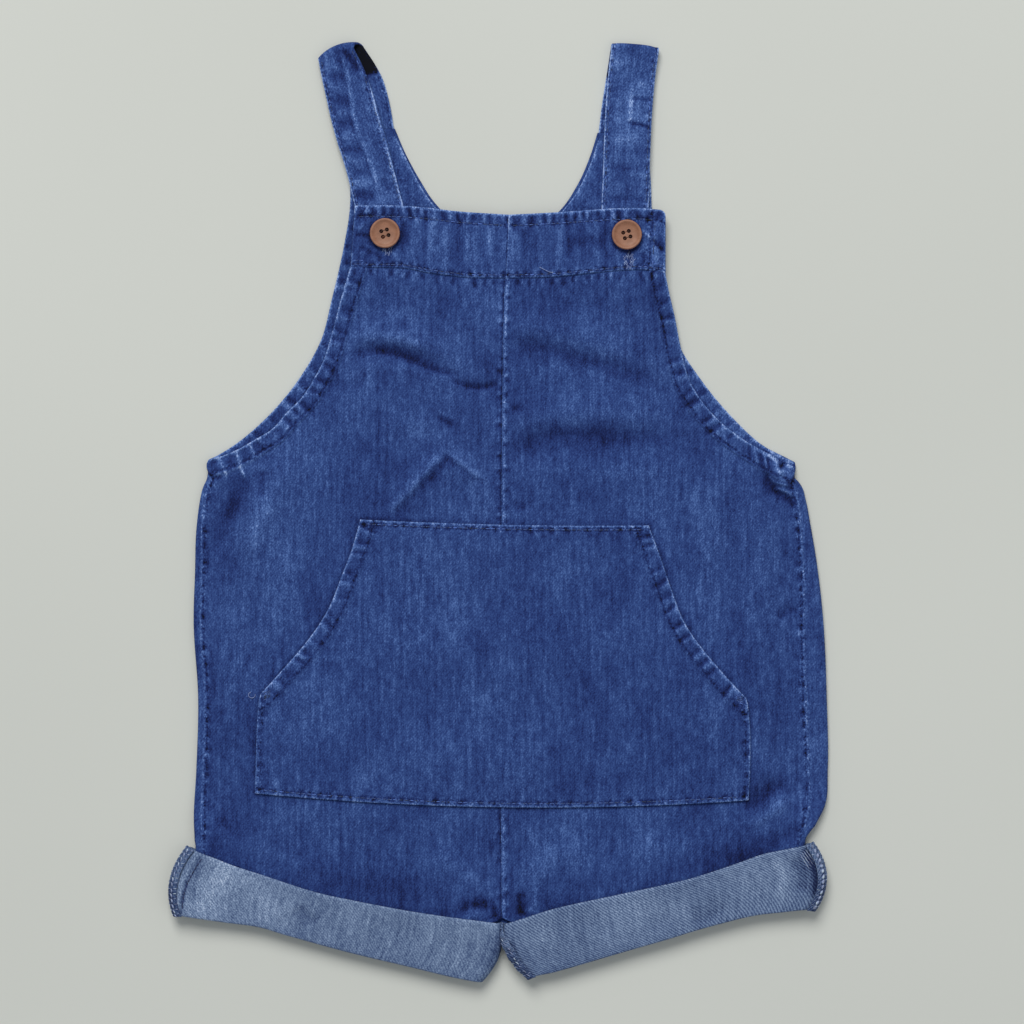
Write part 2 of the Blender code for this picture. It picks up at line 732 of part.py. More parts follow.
def make_strap(parts, side):
    """A doubled ribbon from behind the band, over its loop and down to the back wing."""
    over = rulings(STRAP_OVER[side], 22)
    under = rulings(STRAP_UNDER[side], 9)
    last, first = over[-1], under[0]
    along_ruling = last[1, :2] - last[0, :2]
    outward = np.array([-along_ruling[1], along_ruling[0]]) / np.linalg.norm(along_ruling)
    loop = []
    for turn in np.radians(np.linspace(90, -90, 8))[1:-1]:
        ends = (last + first) / 2 + (last - first) / 2 * math.sin(turn)
        reach = np.abs(last[:, 2] - first[:, 2]) / 2 * math.cos(turn)
        ends[:, :2] += reach[:, None] * outward
        loop.append(ends)
    rows = []
    for left, right in [*over, *loop, *under]:
        rows.append(left + np.linspace(0, 1, 5)[:, None] * (right - left))
    cloth_object(parts, f"strap_{side}", rows, "denim", thickness=STRAP, side=0)


# The cuffs


def half_turn(end, inward, radius, rising):
    """Points of a cuff's end, round from one wall to the other."""
    points = []
    for angle in np.radians(np.linspace(90, -90, 6))[1:-1]:
        x, y = end - inward * radius * math.cos(angle)
        points.append((x, y, CUFF_HEIGHT / 2 - rising * radius * math.sin(angle)))
    return points


def cuff_rows(side):
    """Closed rings from the cuff's upper edge to its fold, along the middle of its wall."""
    names = ("top_x", "top_y", "bottom_x", "bottom_y", "bulge")
    stations = along([CUFF[side][name] for name in names], CUFF_STATIONS)
    radius = (CUFF_HEIGHT - HEM) / 2
    rows = []
    for down in np.linspace(0, 1, 5):
        line = stations[:, :2] + down * (stations[:, 2:4] - stations[:, :2])
        line[:, 0] += stations[:, 4] * 4 * down * (1 - down)
        first, last = line[1] - line[0], line[-2] - line[-1]
        first, last = first / np.linalg.norm(first), last / np.linalg.norm(last)
        line[0] += (CUFF_HEIGHT / 2) * first
        line[-1] += (CUFF_HEIGHT / 2) * last
        line[1] = (line[0] + line[2]) / 2
        line[-2] = (line[-1] + line[-3]) / 2
        front = np.column_stack([line, np.full(len(line), CUFF_HEIGHT - HEM / 2)])
        back = np.column_stack([line[::-1], np.full(len(line), HEM / 2)])
        inner_turn = half_turn(line[-1], last, radius, -1)
        outer_turn = half_turn(line[0], first, radius, 1)
        rows.append(np.concatenate([front, inner_turn, back, outer_turn]))
    return rows


def make_cuff(parts, side):
    """A turned-up leg end, as one wall of two layers round the leg."""
    cloth_object(
        parts,
        f"cuff_{side}",
        cuff_rows(side),
        "denim_wrong_side",
        thickness=HEM,
        side=0,
        closed=True,
        flip=side == "right",
    )


def moved_out(rows, distance):
    """A grid of points moved along its own normals."""
    grid = np.array(rows)
    across = np.gradient(grid, axis=1)
    down = np.gradient(grid, axis=0)
    normals = np.cross(across, down)
    normals /= np.linalg.norm(normals, axis=2, keepdims=True)
    return grid + distance * normals


def make_allowance(parts, name, side, columns):
    """An overlocked seam allowance, which lies on the cuff from its points, moved out."""
    strip = np.array(cuff_rows(side))[:, columns]
    out = moved_out(strip, SIDES[side] * (HEM / 2 + ALLOWANCE_GAP))
    cloth_object(parts, name, list(out), "denim_wrong_side", thickness=FACING, flip=side == "left")


# The buttons


def make_button(parts, cutters, side):
    """A turned four-hole button with a rim and a shallow well."""
    x, y = BUTTONS[side]
    base = (float(band_under(x)) + 2 * WAVE_RISE * BAND_MIDDLE_RISE + HEM + LAYER_GAP) * MM
    mesh = bpy.data.meshes.new(f"button_{side}")
    points = [(radius * MM, 0, height * MM) for radius, height in BUTTON_PROFILE]
    mesh.from_pydata(points, [(i, i + 1) for i in range(len(points) - 1)], [])
    mesh.materials.append(material("button_brown"))
    button = bpy.data.objects.new(f"button_{side}", mesh)
    button.location = (x * MM, y * MM, base)
    parts.objects.link(button)
    turned = button.modifiers.new("turned", "SCREW")
    turned.steps = 24
    turned.render_steps = 24
    turned.use_merge_vertices = True
    turned.merge_threshold = 0.00001
    turned.use_smooth_shade = True
    form = bmesh.new()
    for quarter in range(4):
        bearing = math.radians(HOLE_BEARING + 90 * quarter)
        hole = bmesh.ops.create_cone(
            form,
            cap_ends=True,
            segments=8,
            radius1=BUTTON_HOLE * MM,
            radius2=BUTTON_HOLE * MM,
            depth=DRILL_LENGTH * MM,
        )
        x_out, y_out = math.cos(bearing), math.sin(bearing)
        place = (BUTTON_HOLE_RING * MM * x_out, BUTTON_HOLE_RING * MM * y_out, 0)
        bmesh.ops.translate(form, verts=hole["verts"], vec=place)
    drills = bpy.data.meshes.new(f"holes_{side}")
    form.to_mesh(drills)
    form.free()
    cutter = bpy.data.objects.new(f"holes_{side}", drills)
    cutter.location = button.location
    cutter.hide_render = True
    cutter.display_type = "WIRE"
    cutters.objects.link(cutter)
    holes = button.modifiers.new("holes", "BOOLEAN")
    holes.operation = "DIFFERENCE"
    holes.solver = "EXACT"
    holes.object = cutter


def main():
    for old in list(bpy.data.objects):
        bpy.data.objects.remove(old, do_unlink=True)
    parts = collection(NAME)
    cutters = collection("cutters")
    for side in SIDES:
        make_back(parts, side)
        make_front(parts, side)
        make_band(parts, side)
        make_strap(parts, side)
        make_cuff(parts, side)
        make_button(parts, cutters, side)
    make_facing(parts)
    make_pocket(parts)
    outer_end = [-2, -1, 0]
    crotch_end = [CUFF_STATIONS - 2, CUFF_STATIONS - 1, CUFF_STATIONS]
    make_allowance(parts, "cuff_seam_left", "left", outer_end)
    make_allowance(parts, "cuff_seam_right", "right", outer_end)
    make_allowance(parts, "inseam_right", "right", crotch_end)


main()
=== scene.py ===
"""Looks for a baby's short denim dungarees, laid flat on their back with the bib facing up.

Lengths are millimetres until a mesh is made, which is in metres. +Z points up from the surface that
the garment lies on and +Y runs from the cuffs to the straps. "Left" is the side at -X.

Each cloth piece is a fine shell on its solid's form. A relief adds its creases, hems, puckers and
seams. It marks where the cloth is worn light or given a painted highlight, and where painted shade
darkens a hollow.
"""

import math

import bmesh
import bpy
import numpy as np
from mathutils import Matrix, Vector
from mathutils.bvhtree import BVHTree


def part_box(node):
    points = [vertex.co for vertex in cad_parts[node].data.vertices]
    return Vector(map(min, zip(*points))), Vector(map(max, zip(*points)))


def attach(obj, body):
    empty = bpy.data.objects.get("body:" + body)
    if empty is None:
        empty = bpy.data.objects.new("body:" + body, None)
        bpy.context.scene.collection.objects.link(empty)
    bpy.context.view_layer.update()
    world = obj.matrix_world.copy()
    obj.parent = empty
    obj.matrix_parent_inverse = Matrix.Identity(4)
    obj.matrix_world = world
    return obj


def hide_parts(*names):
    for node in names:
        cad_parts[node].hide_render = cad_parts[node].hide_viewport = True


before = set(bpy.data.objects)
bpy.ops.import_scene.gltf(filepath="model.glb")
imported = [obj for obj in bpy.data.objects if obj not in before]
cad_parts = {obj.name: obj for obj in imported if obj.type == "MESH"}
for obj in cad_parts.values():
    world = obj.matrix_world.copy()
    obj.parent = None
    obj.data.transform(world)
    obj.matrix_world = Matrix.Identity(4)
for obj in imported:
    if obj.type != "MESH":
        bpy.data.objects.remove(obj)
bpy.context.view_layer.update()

MM = 0.001
UV_UNIT = 100.0  # millimetres of cloth in one unit of a UV map
TWILL_PITCH = 1.3

# The solids' sizes
CLOTH = 1.1
HEM = 2.2
HEM_WIDTH = 8.0
ALLOWANCE_WIDTH = 6.0
STRAP = 1.6
FACING = 1.0
LAYER_GAP = 0.35
WRAP_RADIUS = 1.75
CUFF_HEIGHT = 9.0
CUFF_DEPTH = 35.0
CUFF_STATIONS = 14
CUFF_FLOOR = 2.6
CUFF_RAMP = 22.0
CUFF_TUCK = 9.0
INSEAM_SLIDE = 1.6  # columns by which the inseam's allowance turns under at its top
ARMHOLE_REST = 2.1
SIDE_REST = 2 * WRAP_RADIUS - CLOTH
PUFF = 1.9
PUFF_WIDTH = 36.0
FOLD_FADE = 7.0
TROUGH_GAP = 0.4
FOLD_TAPER = 0.3
CREASE_TAPER = 0.2
PATH_STEPS = 14
FOLD_STEPS = 12
HOLE_BEARING = 62.0
BAND_REST = 4.8
BAND_SAG = 1.0
BAND_RAMP = 30.0
BAND_END = 6.4  # of the band's right end, from its edge to its upright stitching
FACING_REST = CLOTH + 0.3
STRAP_FRONT = FACING_REST + FACING + LAYER_GAP + STRAP / 2
STRAP_BACK = STRAP / 2
BUTTON_RADIUS = 7.5
BUTTON_HOLE = 1.0
BUTTON_HOLE_RING = 2.05
CROTCH_Y = -203.0
CROTCH_EASE = 2.3
CROTCH_PART = 4.3
CROTCH_SPREAD = {"left": 0.3, "right": 0.42}
CENTRE_BACK_X = 0.9
BACK_CROTCH = 3.5  # the backs part this far below the fronts
ROWS_IN_CUFF = 4
SIDES = {"left": -1, "right": 1}

# The finer form
SEAM_GAP = -0.8  # pieces joined by a seam overlap this far, below their rounded edges
FINE, FINE_STEPS = 24.0, 34  # the fronts are finer this near to their underarm corners
CORNER_STEPS = 14
EDGE_STEPS = np.array([0, 0.07, 0.28, 0.62, 1.1])  # a rounded edge's points, from the edge inwards
STITCH_LINE = 6.7  # of a hem, from its edge
EDGE_STITCH = 2.1  # of a turned edge
STRAP_STITCH = 1.5
SEAM_STITCH = 1.5  # beside the side seam, on the front
BAND_TOP_STITCH = 5.6
BAND_FOOT_STITCH = 1.6

# The camera looks straight down at a square of the surface
CAMERA_X = 6.75
CAMERA_RISE = 1600.0
GARMENT_MIDDLE = 4.0
FRAME_WIDTH = 512.0
SENSOR = 36.0
FLOOR_REACH, FLOOR_LEVEL = 3.0, -0.0003  # in metres, just under the cloth and its stitches


# Words in the tables that stand for a named size
WORDS = {"front": STRAP_FRONT, "back": STRAP_BACK, "centre": CENTRE_BACK_X, "rim": BUTTON_RADIUS}


def rows_of(text):
    """The lines of a table, as lists of numbers."""
    return [[float(WORDS.get(word, word)) for word in line.split()] for line in text.strip().splitlines()]


def table(columns, text):
    """A table as one array for each named column."""
    return dict(zip(columns.split(), np.array(rows_of(text)).T))


def pick(columns, names):
    return [columns[name] for name in names.split()]


# The outlines, as in the solids
CENTRE = table("y x", """
-206 1.9
-148 1.6
-7 1.75
46 2.05
90 2.6
122 3.75
145 4.8
150 5.25
""")
ARMHOLE = {
    "left": table("edge_x edge_y centre_y", """
-73.9 121.8 116.4
-78.75 106 105
-82.25 93.3 96
-84.75 84.5 89.8
-87.75 75.5 83.3
-91.75 67.8 77.4
-98.25 57.5 69.1
-105.75 50 61.8
-113.25 41.5 54.1
-122.25 36 46.9
-130 31.5 40.7
-138.25 28 34.6
-144.75 26 30
"""),
    "right": table("edge_x edge_y centre_y", """
83.3 118.3 116.4
85.75 107 107.5
88.25 97 100
90.75 84.5 91
95.75 65.5 77
102.25 54.8 67.5
112.25 44 56.5
122.25 36.5 47.5
132.25 30 38.5
140.5 25.3 31
146.5 22.5 26
"""),
}
SIDE = {
    "left": table("y outer_x seam_x centre_y", """
17 -146.9 -144.5 21
8.5 -149 -146.5 10
-7.5 -151.2 -148.4 -8
-30.5 -152 -148.6 -34
-53.5 -152.7 -149.2 -60
-94 -150.4 -146.9 -106
-128.5 -151.3 -147.6 -146
-152 -152.4 -148.6 -178
-164 -151.9 -148.2 -199
-167.5 -151.4 -147.8 -204
-173 -152 -148.4 -209.5
-183 -152.4 -148.8 -219
-196 -153 -149.2 -229
"""),
    "right": table("y outer_x seam_x centre_y", """
14 150.8 147.8 16.5
8 153.2 149.4 9
-7.5 156.4 151.2 -8
-34.5 160.6 152.8 -37
-54 162.6 152.9 -60
-94 164.4 153.8 -106
-128 164.9 155.3 -146
-146 163.6 155.4 -178
-157 158.2 153.2 -199
-163.4 153.5 150.2 -204
-170 153.2 149.8 -210
-181 153.4 150 -220
-195 153.6 150.2 -228.5
"""),
}
WING = {
    "left": table("outer_x outer_y inner_x inner_y", """
-76.2 192 -52.3 192
-75.4 180 -47.2 180
-74.5 164.5 -38.7 164.5
-74.3 156 -33.2 156
-75.2 146 -23.5 146.5
-76.6 138 -11 139
-78 130.5 centre 137
-83.7 106 centre 113
-88.6 87 centre 94
-99.2 67.8 centre 75
-116 47.5 centre 54
-132.4 33.5 centre 38
-145.6 25.5 centre 27
"""),
    "right": table("outer_x outer_y inner_x inner_y", """
74.2 190 50 190
75.4 178 46.2 178
76.4 164 40 164
76.8 152 32 152
77.6 143 23 144
79.2 134 11 139
81.2 125.5 centre 137
84.8 106 centre 113
90.3 84 centre 94
101.3 66.5 centre 75
117.5 47 centre 54
134 32 centre 38
147.6 24 centre 27
"""),
}
FACING_SECTIONS = table("outer_x outer_y inner_x inner_y", """
-74.8 188 -51.5 188
-74.2 178 -47.2 179
-73.2 164 -39.5 164
-71 146 -33.5 155
-50 131 -24.5 146
-26 123 -11 138.4
1 120 1 136.4
28 123 12 138.4
52 131 24 143.6
71.5 145 33 151.8
75 163 41 163.4
74 177 47 177
73.4 186 49.8 186
""")
BAND = {
    "left": table("top_x top_y bottom_x bottom_y", """
-71.8 153 -73.9 122.1
-60 153.2 -60 122
-48.3 152.9 -46.7 121.6
-35 151.9 -35.4 119.4
-22.8 150.5 -20 117.5
5.7 148.6 4.1 116.7
"""),
    "right": table("top_x top_y bottom_x bottom_y", """
83.5 147.6 83.5 118.6
83 149.6 82.6 119.2
81.6 150.7 80.6 119.8
78.6 151.2 76.6 120.4
60.3 151.7 60.5 120.4
45 150.8 45 119
29.8 149.8 29.3 117.5
4.9 148.6 3.3 116.7
"""),
}
POCKET = table("left_x left_y right_x right_y sag", """
-69 -3.7 75 -6.7 1.2
-73.2 -18.5 80.5 -21.5 1.5
-78.3 -32 85.8 -37 2
-85.3 -49 92.8 -55 2.4
-94.8 -63.5 102 -68.5 2.8
-105.8 -76.5 113.3 -81.8 3.2
-119.4 -91.5 124.2 -93.5 3.6
-120.6 -105 125.6 -107 4
-121.2 -122 125.8 -124 4.6
-121.6 -140.5 125 -144 5.2
""")
POCKET_OPENING_ROWS = 7
STRAP_OVER = {
    "left": table("left_x left_y left_z right_x right_y right_z", """
-65 127.5 front -41 129 front
-71.6 152 front -47.4 153 front
-76.6 172 front -52.4 172 front
-80.4 184 front -55.2 184 front
-84.2 198 3.1 -59.4 198 3.3
-86.6 209 2.9 -62.8 209 3.1
-88.8 218.8 2.9 -66.8 220.6 4
-90 225.4 2.9 -72.1 231.3 5.6
"""),
    "right": table("left_x left_y left_z right_x right_y right_z", """
50.8 126.5 front 75 126.5 front
51.5 151.5 front 75.2 151.5 front
52.3 172 front 75.7 172 front
52.9 189 front 76.3 189 front
53.6 203 3.3 77.1 203 3.3
54.7 217 3.1 78.4 217 3.1
56.4 232.3 3.6 80.2 230.2 3.9
"""),
}
STRAP_UNDER = {
    "left": table("left_x left_y left_z right_x right_y right_z", """
-88.2 226.2 back -67.4 232.6 back
-84 218 back -62.2 224.8 back
-80.4 209 back -57.8 216.4 back
-77.4 200 back -54.4 204 back
-76.2 191 back -52.2 191 back
"""),
    "right": table("left_x left_y left_z right_x right_y right_z", """
56.2 232.3 back 79.8 230 back
54 218 back 77.8 217 back
51.8 204 back 75.8 204 back
50 189 back 74.2 189 back
"""),
}
CUFF = {
    "left": table("top_x top_y bottom_x bottom_y bulge", """
-155 -167 -161.6 -201 -5.2
-148 -171 -150 -203.3 -2
-138.8 -174.2 -127.3 -206 0
-115.3 -181.9 -103.3 -212 0
-91.8 -189.5 -73.8 -220 0
-68.3 -194.6 -44.3 -227 0
-44.3 -199.1 -28 -231 0.6
-20.8 -202.6 -16 -233.6 2
1.5 -205.4 -8 -234.8 4.7
"""),
    "right": table("top_x top_y bottom_x bottom_y bulge", """
156.6 -165.4 157.6 -198.2 6
148 -167.6 148 -198.6 2
132.3 -170.6 129 -201.2 0
120.8 -174.6 108.8 -206 0
96.8 -182.6 85.3 -213 0
73.3 -188 63 -219.4 0
49.8 -193 42 -225.6 0
26.3 -198.3 26.3 -230 -1.6
2.4 -206 14.2 -232.2 -5.2
"""),
}
FOLDS = table("start_x start_y mid_x mid_y end_x end_y height width", """
-73 82 -52 88 -18 74 2 8
-73 75 -55 80.5 -20 67.5 -1.6 4.5
-22 64.5 -11 61.5 -1 63.5 -1 4
5 89 30 87 84 70 1.9 10
5 81 31 79 84 60 -1.5 7
5 39 35 48 92 44 1.9 10
5 29 36 36 92 33 -1.4 8
-27 29 -40 15 -52 1 1.5 7
-26 28 -18 22 -11 15 1.2 6
-116 22 -135 -3 -141 -25 -1.3 7
-100 30 -118 4 -128 -30 1.4 9
131 10 134 -24 132 -62 1.3 9
112 24 118 -8 116 -40 -0.9 9
141 -133 132 -143 121 -150 -1.3 6
144 -140 135 -150 124 -157 1.3 6
-60 -118 -10 -126 60 -120 0.8 14
-60 -60 0 -70 70 -58 0.8 16
-136 -60 -134 -90 -138 -120 1.1 9
-40 -168 -20 -180 0 -186 1.1 8
131 27 141 21 145 9 2.4 6
126 20 134 14 138 4 -1.2 5
-144 25 -141 20 -143 12 1.6 5
6 -186 26 -176 46 -170 1.1 8
""")
BUTTONS = {"left": (-56.6, 139), "right": (64, 138.3)}

# The finer creases of the front, and those of the back, which the surface flattens. Each has its
# height, its width and its path.
FRONT_CREASES = rows_of("""
-0.3 2.2 -80 76 -70 79.8 -60 80.6 -48 78 -38 74
-0.5 1.2 -68 79.4 -58 80 -50 78.6 -40 74 -30 70.4 -21 68.4 -16 66.6
-0.8 1.1 -25.5 66.8 -19 63.8 -14 62.4 -9 62.1 -3 63.2 2 64.8
0.4 1.4 -25 64.2 -18 61.6 -10 60 -2 61.4
0.5 3 -60 86 -48 86 -36 80
-0.6 3.4 4 82 16 84 29 80.5 46 76 62 71 78 64.5 87 60
-0.55 3.6 4 30 24 38 35 39.3 51 36.8 73 37.5 96 37
-0.5 1.3 6 50.6 9.5 51.3 13 51
-0.5 1.3 77 135.5 80 132 83 129.8
0.4 1.3 72 139 75 137.4 78 136
0.7 2.4 -56 -2 -41 15 -27.5 30
0.5 2.2 -26 30 -19 24 -8 14
-0.3 3.6 -44 4 -32 15 -26 23
-0.4 2 6 1.5 12 2.5 18 2
-0.7 1.8 139 -54 145 -50 152 -49
-0.8 2.6 122 -151 133 -142 145 -135
0.7 2.6 124 -158 136 -150 147 -142
-0.8 3.4 134 -167 142 -163 152 -160
-0.5 4 -143 -150 -136 -157 -124 -163
-0.9 1.8 -20 -200 -11 -196 -3 -196.6
0.8 2.4 -19 -206 -12 -200 -5 -199
-0.9 1.9 12 -204 11.4 -198 11 -189
0.6 4 15 -198 18 -186 24 -176
-0.4 4.2 -142 -24 -136 -5 -127 13 -124 22
-0.45 2.6 -118 6 -116.5 14 -116 22
0.4 4 -126 -24 -119 -6 -108 10
-0.35 6 119 -74 122 -50 118 -30
0.3 7 103 -30 106 -6 100 20
0.3 7 -101 -60 -104 -34 -98 -14
-0.35 7 -131 -146 -126 -120 -128 -90
-0.35 3 -90 64 -78 63 -64 66
0.35 6 40 22 60 18 84 22
-0.35 4 -60 104 -40 108 -20 104
0.3 5 -60 40 -44 44 -30 42
-0.3 5 20 100 44 104 66 98
0.4 7 60 -165 84 -168 104 -162
-0.4 7 -110 -166 -90 -172 -64 -176
""")

# Marks of places that stand out: height, width, how dark they are painted as shade, how much lighter they
# are as worn cloth and painted highlight, and the path
FRONT_MARKS = rows_of("""
-0.4 1.4 0.75 0 -31 48.6 -26.6 45.6 -22 43
-0.2 2.6 0.3 0 -28 46 -22 42 -16 38
0.4 2.2 0 0.22 -22 34 -28.4 28.6 -38.6 17.4 -50 5 -57 -3
-0.4 2 0.45 0 -22 32 -26.4 26 -31 20.6 -37 14
-0.3 2.2 0.35 0 -29 22 -38 13.4 -47 3.6 -54 -5
0.4 1.2 0 0.3 -28 33.4 -23.4 28.4 -17 23.6 -8 16.8 -4 14
-0.5 1.2 0.55 0 -30 31 -25 26.6 -18.8 22 -11.6 16.2 -7 12.6
-0.2 2 0.45 0 -28.6 21 -25.6 25 -22.6 21
-0.8 1.7 1.3 0 -3 -196 -1.6 -201 -0.8 -208
-0.5 2.2 0.4 0 13.4 -188 12 -195 10.4 -203
-0.6 1.8 0.8 0 -14 -198 -8 -195.6 -2 -196.6
0.7 1.2 0 0.6 11.4 -206 15.4 -199 20 -193
0.3 5 0 0.3 13 -156 20 -166 28 -176
-0.3 7 0.4 0 96 -178 118 -172 142 -168
-0.2 7 0.3 0 -20 -190 -60 -186 -100 -180
""")
CORNER_MARKS = {
    "left": rows_of("""
0.9 0.7 0 1.3 -141 30 -139.2 26 -137.6 22.6 -135.6 17
0.3 0.6 0 0.5 -147 15.8 -142.2 18.2 -134.4 20.3 -128.3 23 -120.6 27 -113 32.6
1.1 0.8 0 1.5 -131.4 34 -130.6 29 -129.6 24.6 -128 20 -126 16
0.8 0.7 0 1.1 -125.6 36 -123.2 31.8 -122 26
0.6 0.9 0 0.7 -121.6 38 -119.6 35.4 -117 33.4
-0.5 1.7 0.7 0 -142.4 27 -142 23.6 -140.6 20
-0.5 2.2 0.55 0 -136 29 -134.8 25.6 -134 21.6
-0.5 1.5 0.5 0 -128.4 32 -127.2 28.6 -126 25
-0.5 1.8 0.6 0 -121 36 -119 33 -117.6 29.6
-0.6 1 1.1 0 -144.4 18.4 -141.4 17 -138 17.8
0.5 0.6 0 0.9 -144 16.6 -143.2 14 -141.6 11.8
0.6 1.2 0 0.6 -147 26.4 -144.4 26.8 -140 28.4
-0.5 0.9 0.9 0 -148 22.4 -146.6 20.6 -145 19.4
-0.4 4 0.5 0 -127 21 -130 10 -137 -6
-0.4 1.6 0.5 0 -117.6 22 -117.8 14 -118.6 6
"""),
    "right": rows_of("""
1.2 1.3 0 0.9 134 29.6 138.4 25.8 139.7 22 141.4 16.6
-1.2 1.5 0.9 0 136.6 29.6 140.2 25.8 142.4 22
0.7 1 0 0.35 138.4 28.8 141.2 27.2 143.6 26
-0.8 1 1.5 0 139.6 21 142.4 23.8 145 25.4 148.4 27
1.5 2.8 0 0.6 146.6 27 147.6 21 146 14.6
0.3 0.55 0 0.9 141.4 21.2 143.4 20.1 145.6 20.5
-0.8 0.7 1 0 134.4 28 134.8 24.6 135.4 20.6
0.6 0.6 0 0.8 132.2 31 133.4 26.6 134.2 22 135 18
1.3 0.8 0 1 137.6 12 141.6 10.8 144.8 9.8 147.6 7.2
0.6 0.6 0 0.6 134.4 20 137 15.6 140.4 14.2 146 13.4
0.3 0.6 0 0.5 137.4 17.6 140.6 16 144 15.6
-1.2 2.1 0.85 0 133.4 21 134.8 16 138 11.2 141.6 8.2 145.6 5.8 148 1
1.3 3.2 0 0 136.6 20 140.4 15.4 146 12
0.5 0.8 0 0.6 127.8 33 128.6 27.6 130.6 22.6
-0.5 1.2 0.8 0 130.6 30 131.2 26 132.8 21
-0.5 1.4 0.7 0 125.6 34 125.4 30 126.6 26
"""),
}
CORNER_BULGES = {
    "left": ((1.0, 2.2, 23.4), (-0.9, 3, 16.5)),
    "right": ((2.2, 4.5, 26.8), (0.5, 2, 21), (-0.8, 1.2, 17), (0.7, 3, 11.5)),
}
CORNER_Y = {"left": 21.5, "right": 19}
PUCKERS_UNTIL = {"left": 41, "right": 37}  # the armholes' puckers stop at this y, above the corners
BAND_MARKS = rows_of("""
0.4 1.2 0 0.7 -53 148.6 -50.4 144 -50 139.6 -52.4 134.6
0.4 1 0 0.6 -71.6 140.4 -68.4 142.6 -66 145.6
0.4 1.4 0 0.6 -72 151 -66.4 150.6 -60.6 147.4
-0.4 1 0.9 0 -68 147 -64 148.4 -59.6 149.6
-0.4 1 0.8 0 -72 138 -68 138.6 -64 137
-0.4 1.2 0.7 0 -70 132 -66 131 -63 128.6
0.3 1.2 0 0.5 -70 128.6 -66.6 130 -64.6 134
-0.4 1.1 0.8 0 -61.6 130 -59.6 127 -58.8 124.6
0.3 1 0 0.5 -52.6 130.4 -50.6 127 -49.6 124
-0.3 1.6 0.6 0 -48 146 -46.6 140 -46.6 133
0.5 0.7 0 1 70.6 140.8 73.4 139.2 76.8 136
-0.5 0.9 1 0 76 137 79.6 133 83.4 130
-0.5 1.2 0.9 0 68 147.6 72 146.8 76.4 144.6
-0.4 1.6 0.8 0 72 131 72.6 126 72 121.6
0.3 1.4 0 0.6 79.4 134 79.2 127 79.6 121
0.3 1.6 0 0.5 80 148 80.2 142 81 137
-0.3 1 0.8 0 65.2 130.6 65.2 126 65.2 121.6
-0.3 3 0.5 0 30 136 42 135 54 136
""")
CUFF_MARKS = rows_of("""
0.5 0.9 0 0.6 -148.4 -168 -153.8 -177.4 -157.4 -186 -159.4 -194 -159.8 -203
-0.4 0.7 1.2 0 -146.6 -169 -152 -178 -155.8 -187 -157.8 -195 -158 -203
-0.2 4 0.3 0 -146 -174 -150 -184 -154 -196
0.1 9 0 0.6 -128 -172 -144 -188 -152 -208
0.1 6 0 0.25 -128 -178 -120 -190 -112 -206
-0.8 2 1.4 0 151 -166 155.6 -174 158.4 -182 158.4 -188 157 -194
-0.3 3.6 0.3 0 150 -172 154 -181 153 -191
-0.5 1.5 1.4 0 1.8 -198 1.4 -208 1.4 -216 0.4 -226
0.2 4 0 0.35 136 -172 142 -180 140 -194
0.1 7 0 0.25 60 -196 80 -200 100 -196
-0.5 0.9 1.4 0 5.4 -212 7.6 -219 11 -226 15 -234
0.1 6 0 0.25 20 -206 26 -216 30 -228
-0.3 3 0.5 0 -3 -208 -2.4 -218 -6 -230
""")
BACK_CREASES = rows_of("""
0.8 4 -70 96 -40 88 -10 92
0.6 5 -62 60 -30 66 -6 58
0.8 5 12 84 44 92 76 88
0.7 4 20 48 50 40 88 48
0.8 5 -130 14 -112 -6 -104 -40
0.8 5 132 8 118 -16 112 -52
0.6 6 -120 -70 -80 -78 -30 -70
0.6 6 24 -66 70 -74 118 -68
0.8 4 -20 -140 -8 -168 -4 -192
0.8 4 8 -142 14 -168 10 -190
0.6 5 -128 -120 -96 -130 -60 -126
0.6 5 60 -128 100 -134 134 -122
0.5 6 -60 20 -50 -10 -56 -44
0.5 6 58 14 50 -14 54 -40
""")

# The stitches along the left cuff's dark line
CUFF_ROW = table("x y", """
-147.4 -172
-152.6 -180.4
-156 -188
-157.4 -195
-157.6 -200
""")

# Puckers of the hems, counted along each edge
ARMHOLE_PUCKERS = {"left": 19, "right": 14}
OPENING_PUCKERS = {"left": 14, "right": 13}
BAND_PUCKERS = {"left": 19, "right": 20}

# Colours as they look in daylight, in the common 0 to 255 steps
# The lowest stops are reached only where painted shade is strong, as under the straps' loops.
DENIM_TONES = (
    (0.0, (5, 7, 16)),
    (0.1, (11, 18, 52)),
    (0.21, (15, 26, 70)),
    (0.37, (28, 45, 96)),
    (0.55, (43, 66, 119)),
    (0.775, (76, 104, 159)),
    (1.0, (138, 160, 204)),
)
WRONG_SIDE_TONES = (
    (0.1, (22, 32, 66)),
    (0.325, (58, 75, 110)),
    (0.55, (92, 110, 140)),
    (0.775, (128, 146, 175)),
    (1.0, (182, 195, 214)),
)
BUTTON_TONES = (
    (0.0, (76, 46, 34)),
    (0.35, (118, 79, 59)),
    (0.65, (142, 99, 77)),
    (1.0, (168, 126, 104)),
)
THREAD_BLUE = (54, 76, 126)
THREAD_PALE = (130, 142, 176)
THREAD_WORN = (106, 121, 165)
THREAD_NAVY = (26, 36, 74)
THREAD_BROWN = (66, 38, 26)
FLOOR_TONE = (186, 188, 182)
WHITE_LEVEL = 0.78  # what a white surface reflects to the camera in this light


# Curves and heights, as in the solids


def smooth_step(value):
    value = np.clip(value, 0, 1)
    return value * value * (3 - 2 * value)


def distances(points, axis=0):
    """How far each point lies along its line of points."""
    steps = np.linalg.norm(np.diff(points, axis=axis), axis=-1)
    return np.concatenate([np.zeros_like(steps.take([0], axis)), np.cumsum(steps, axis)], axis)


def between(start, end, shares):
    return start + shares * (end - start)


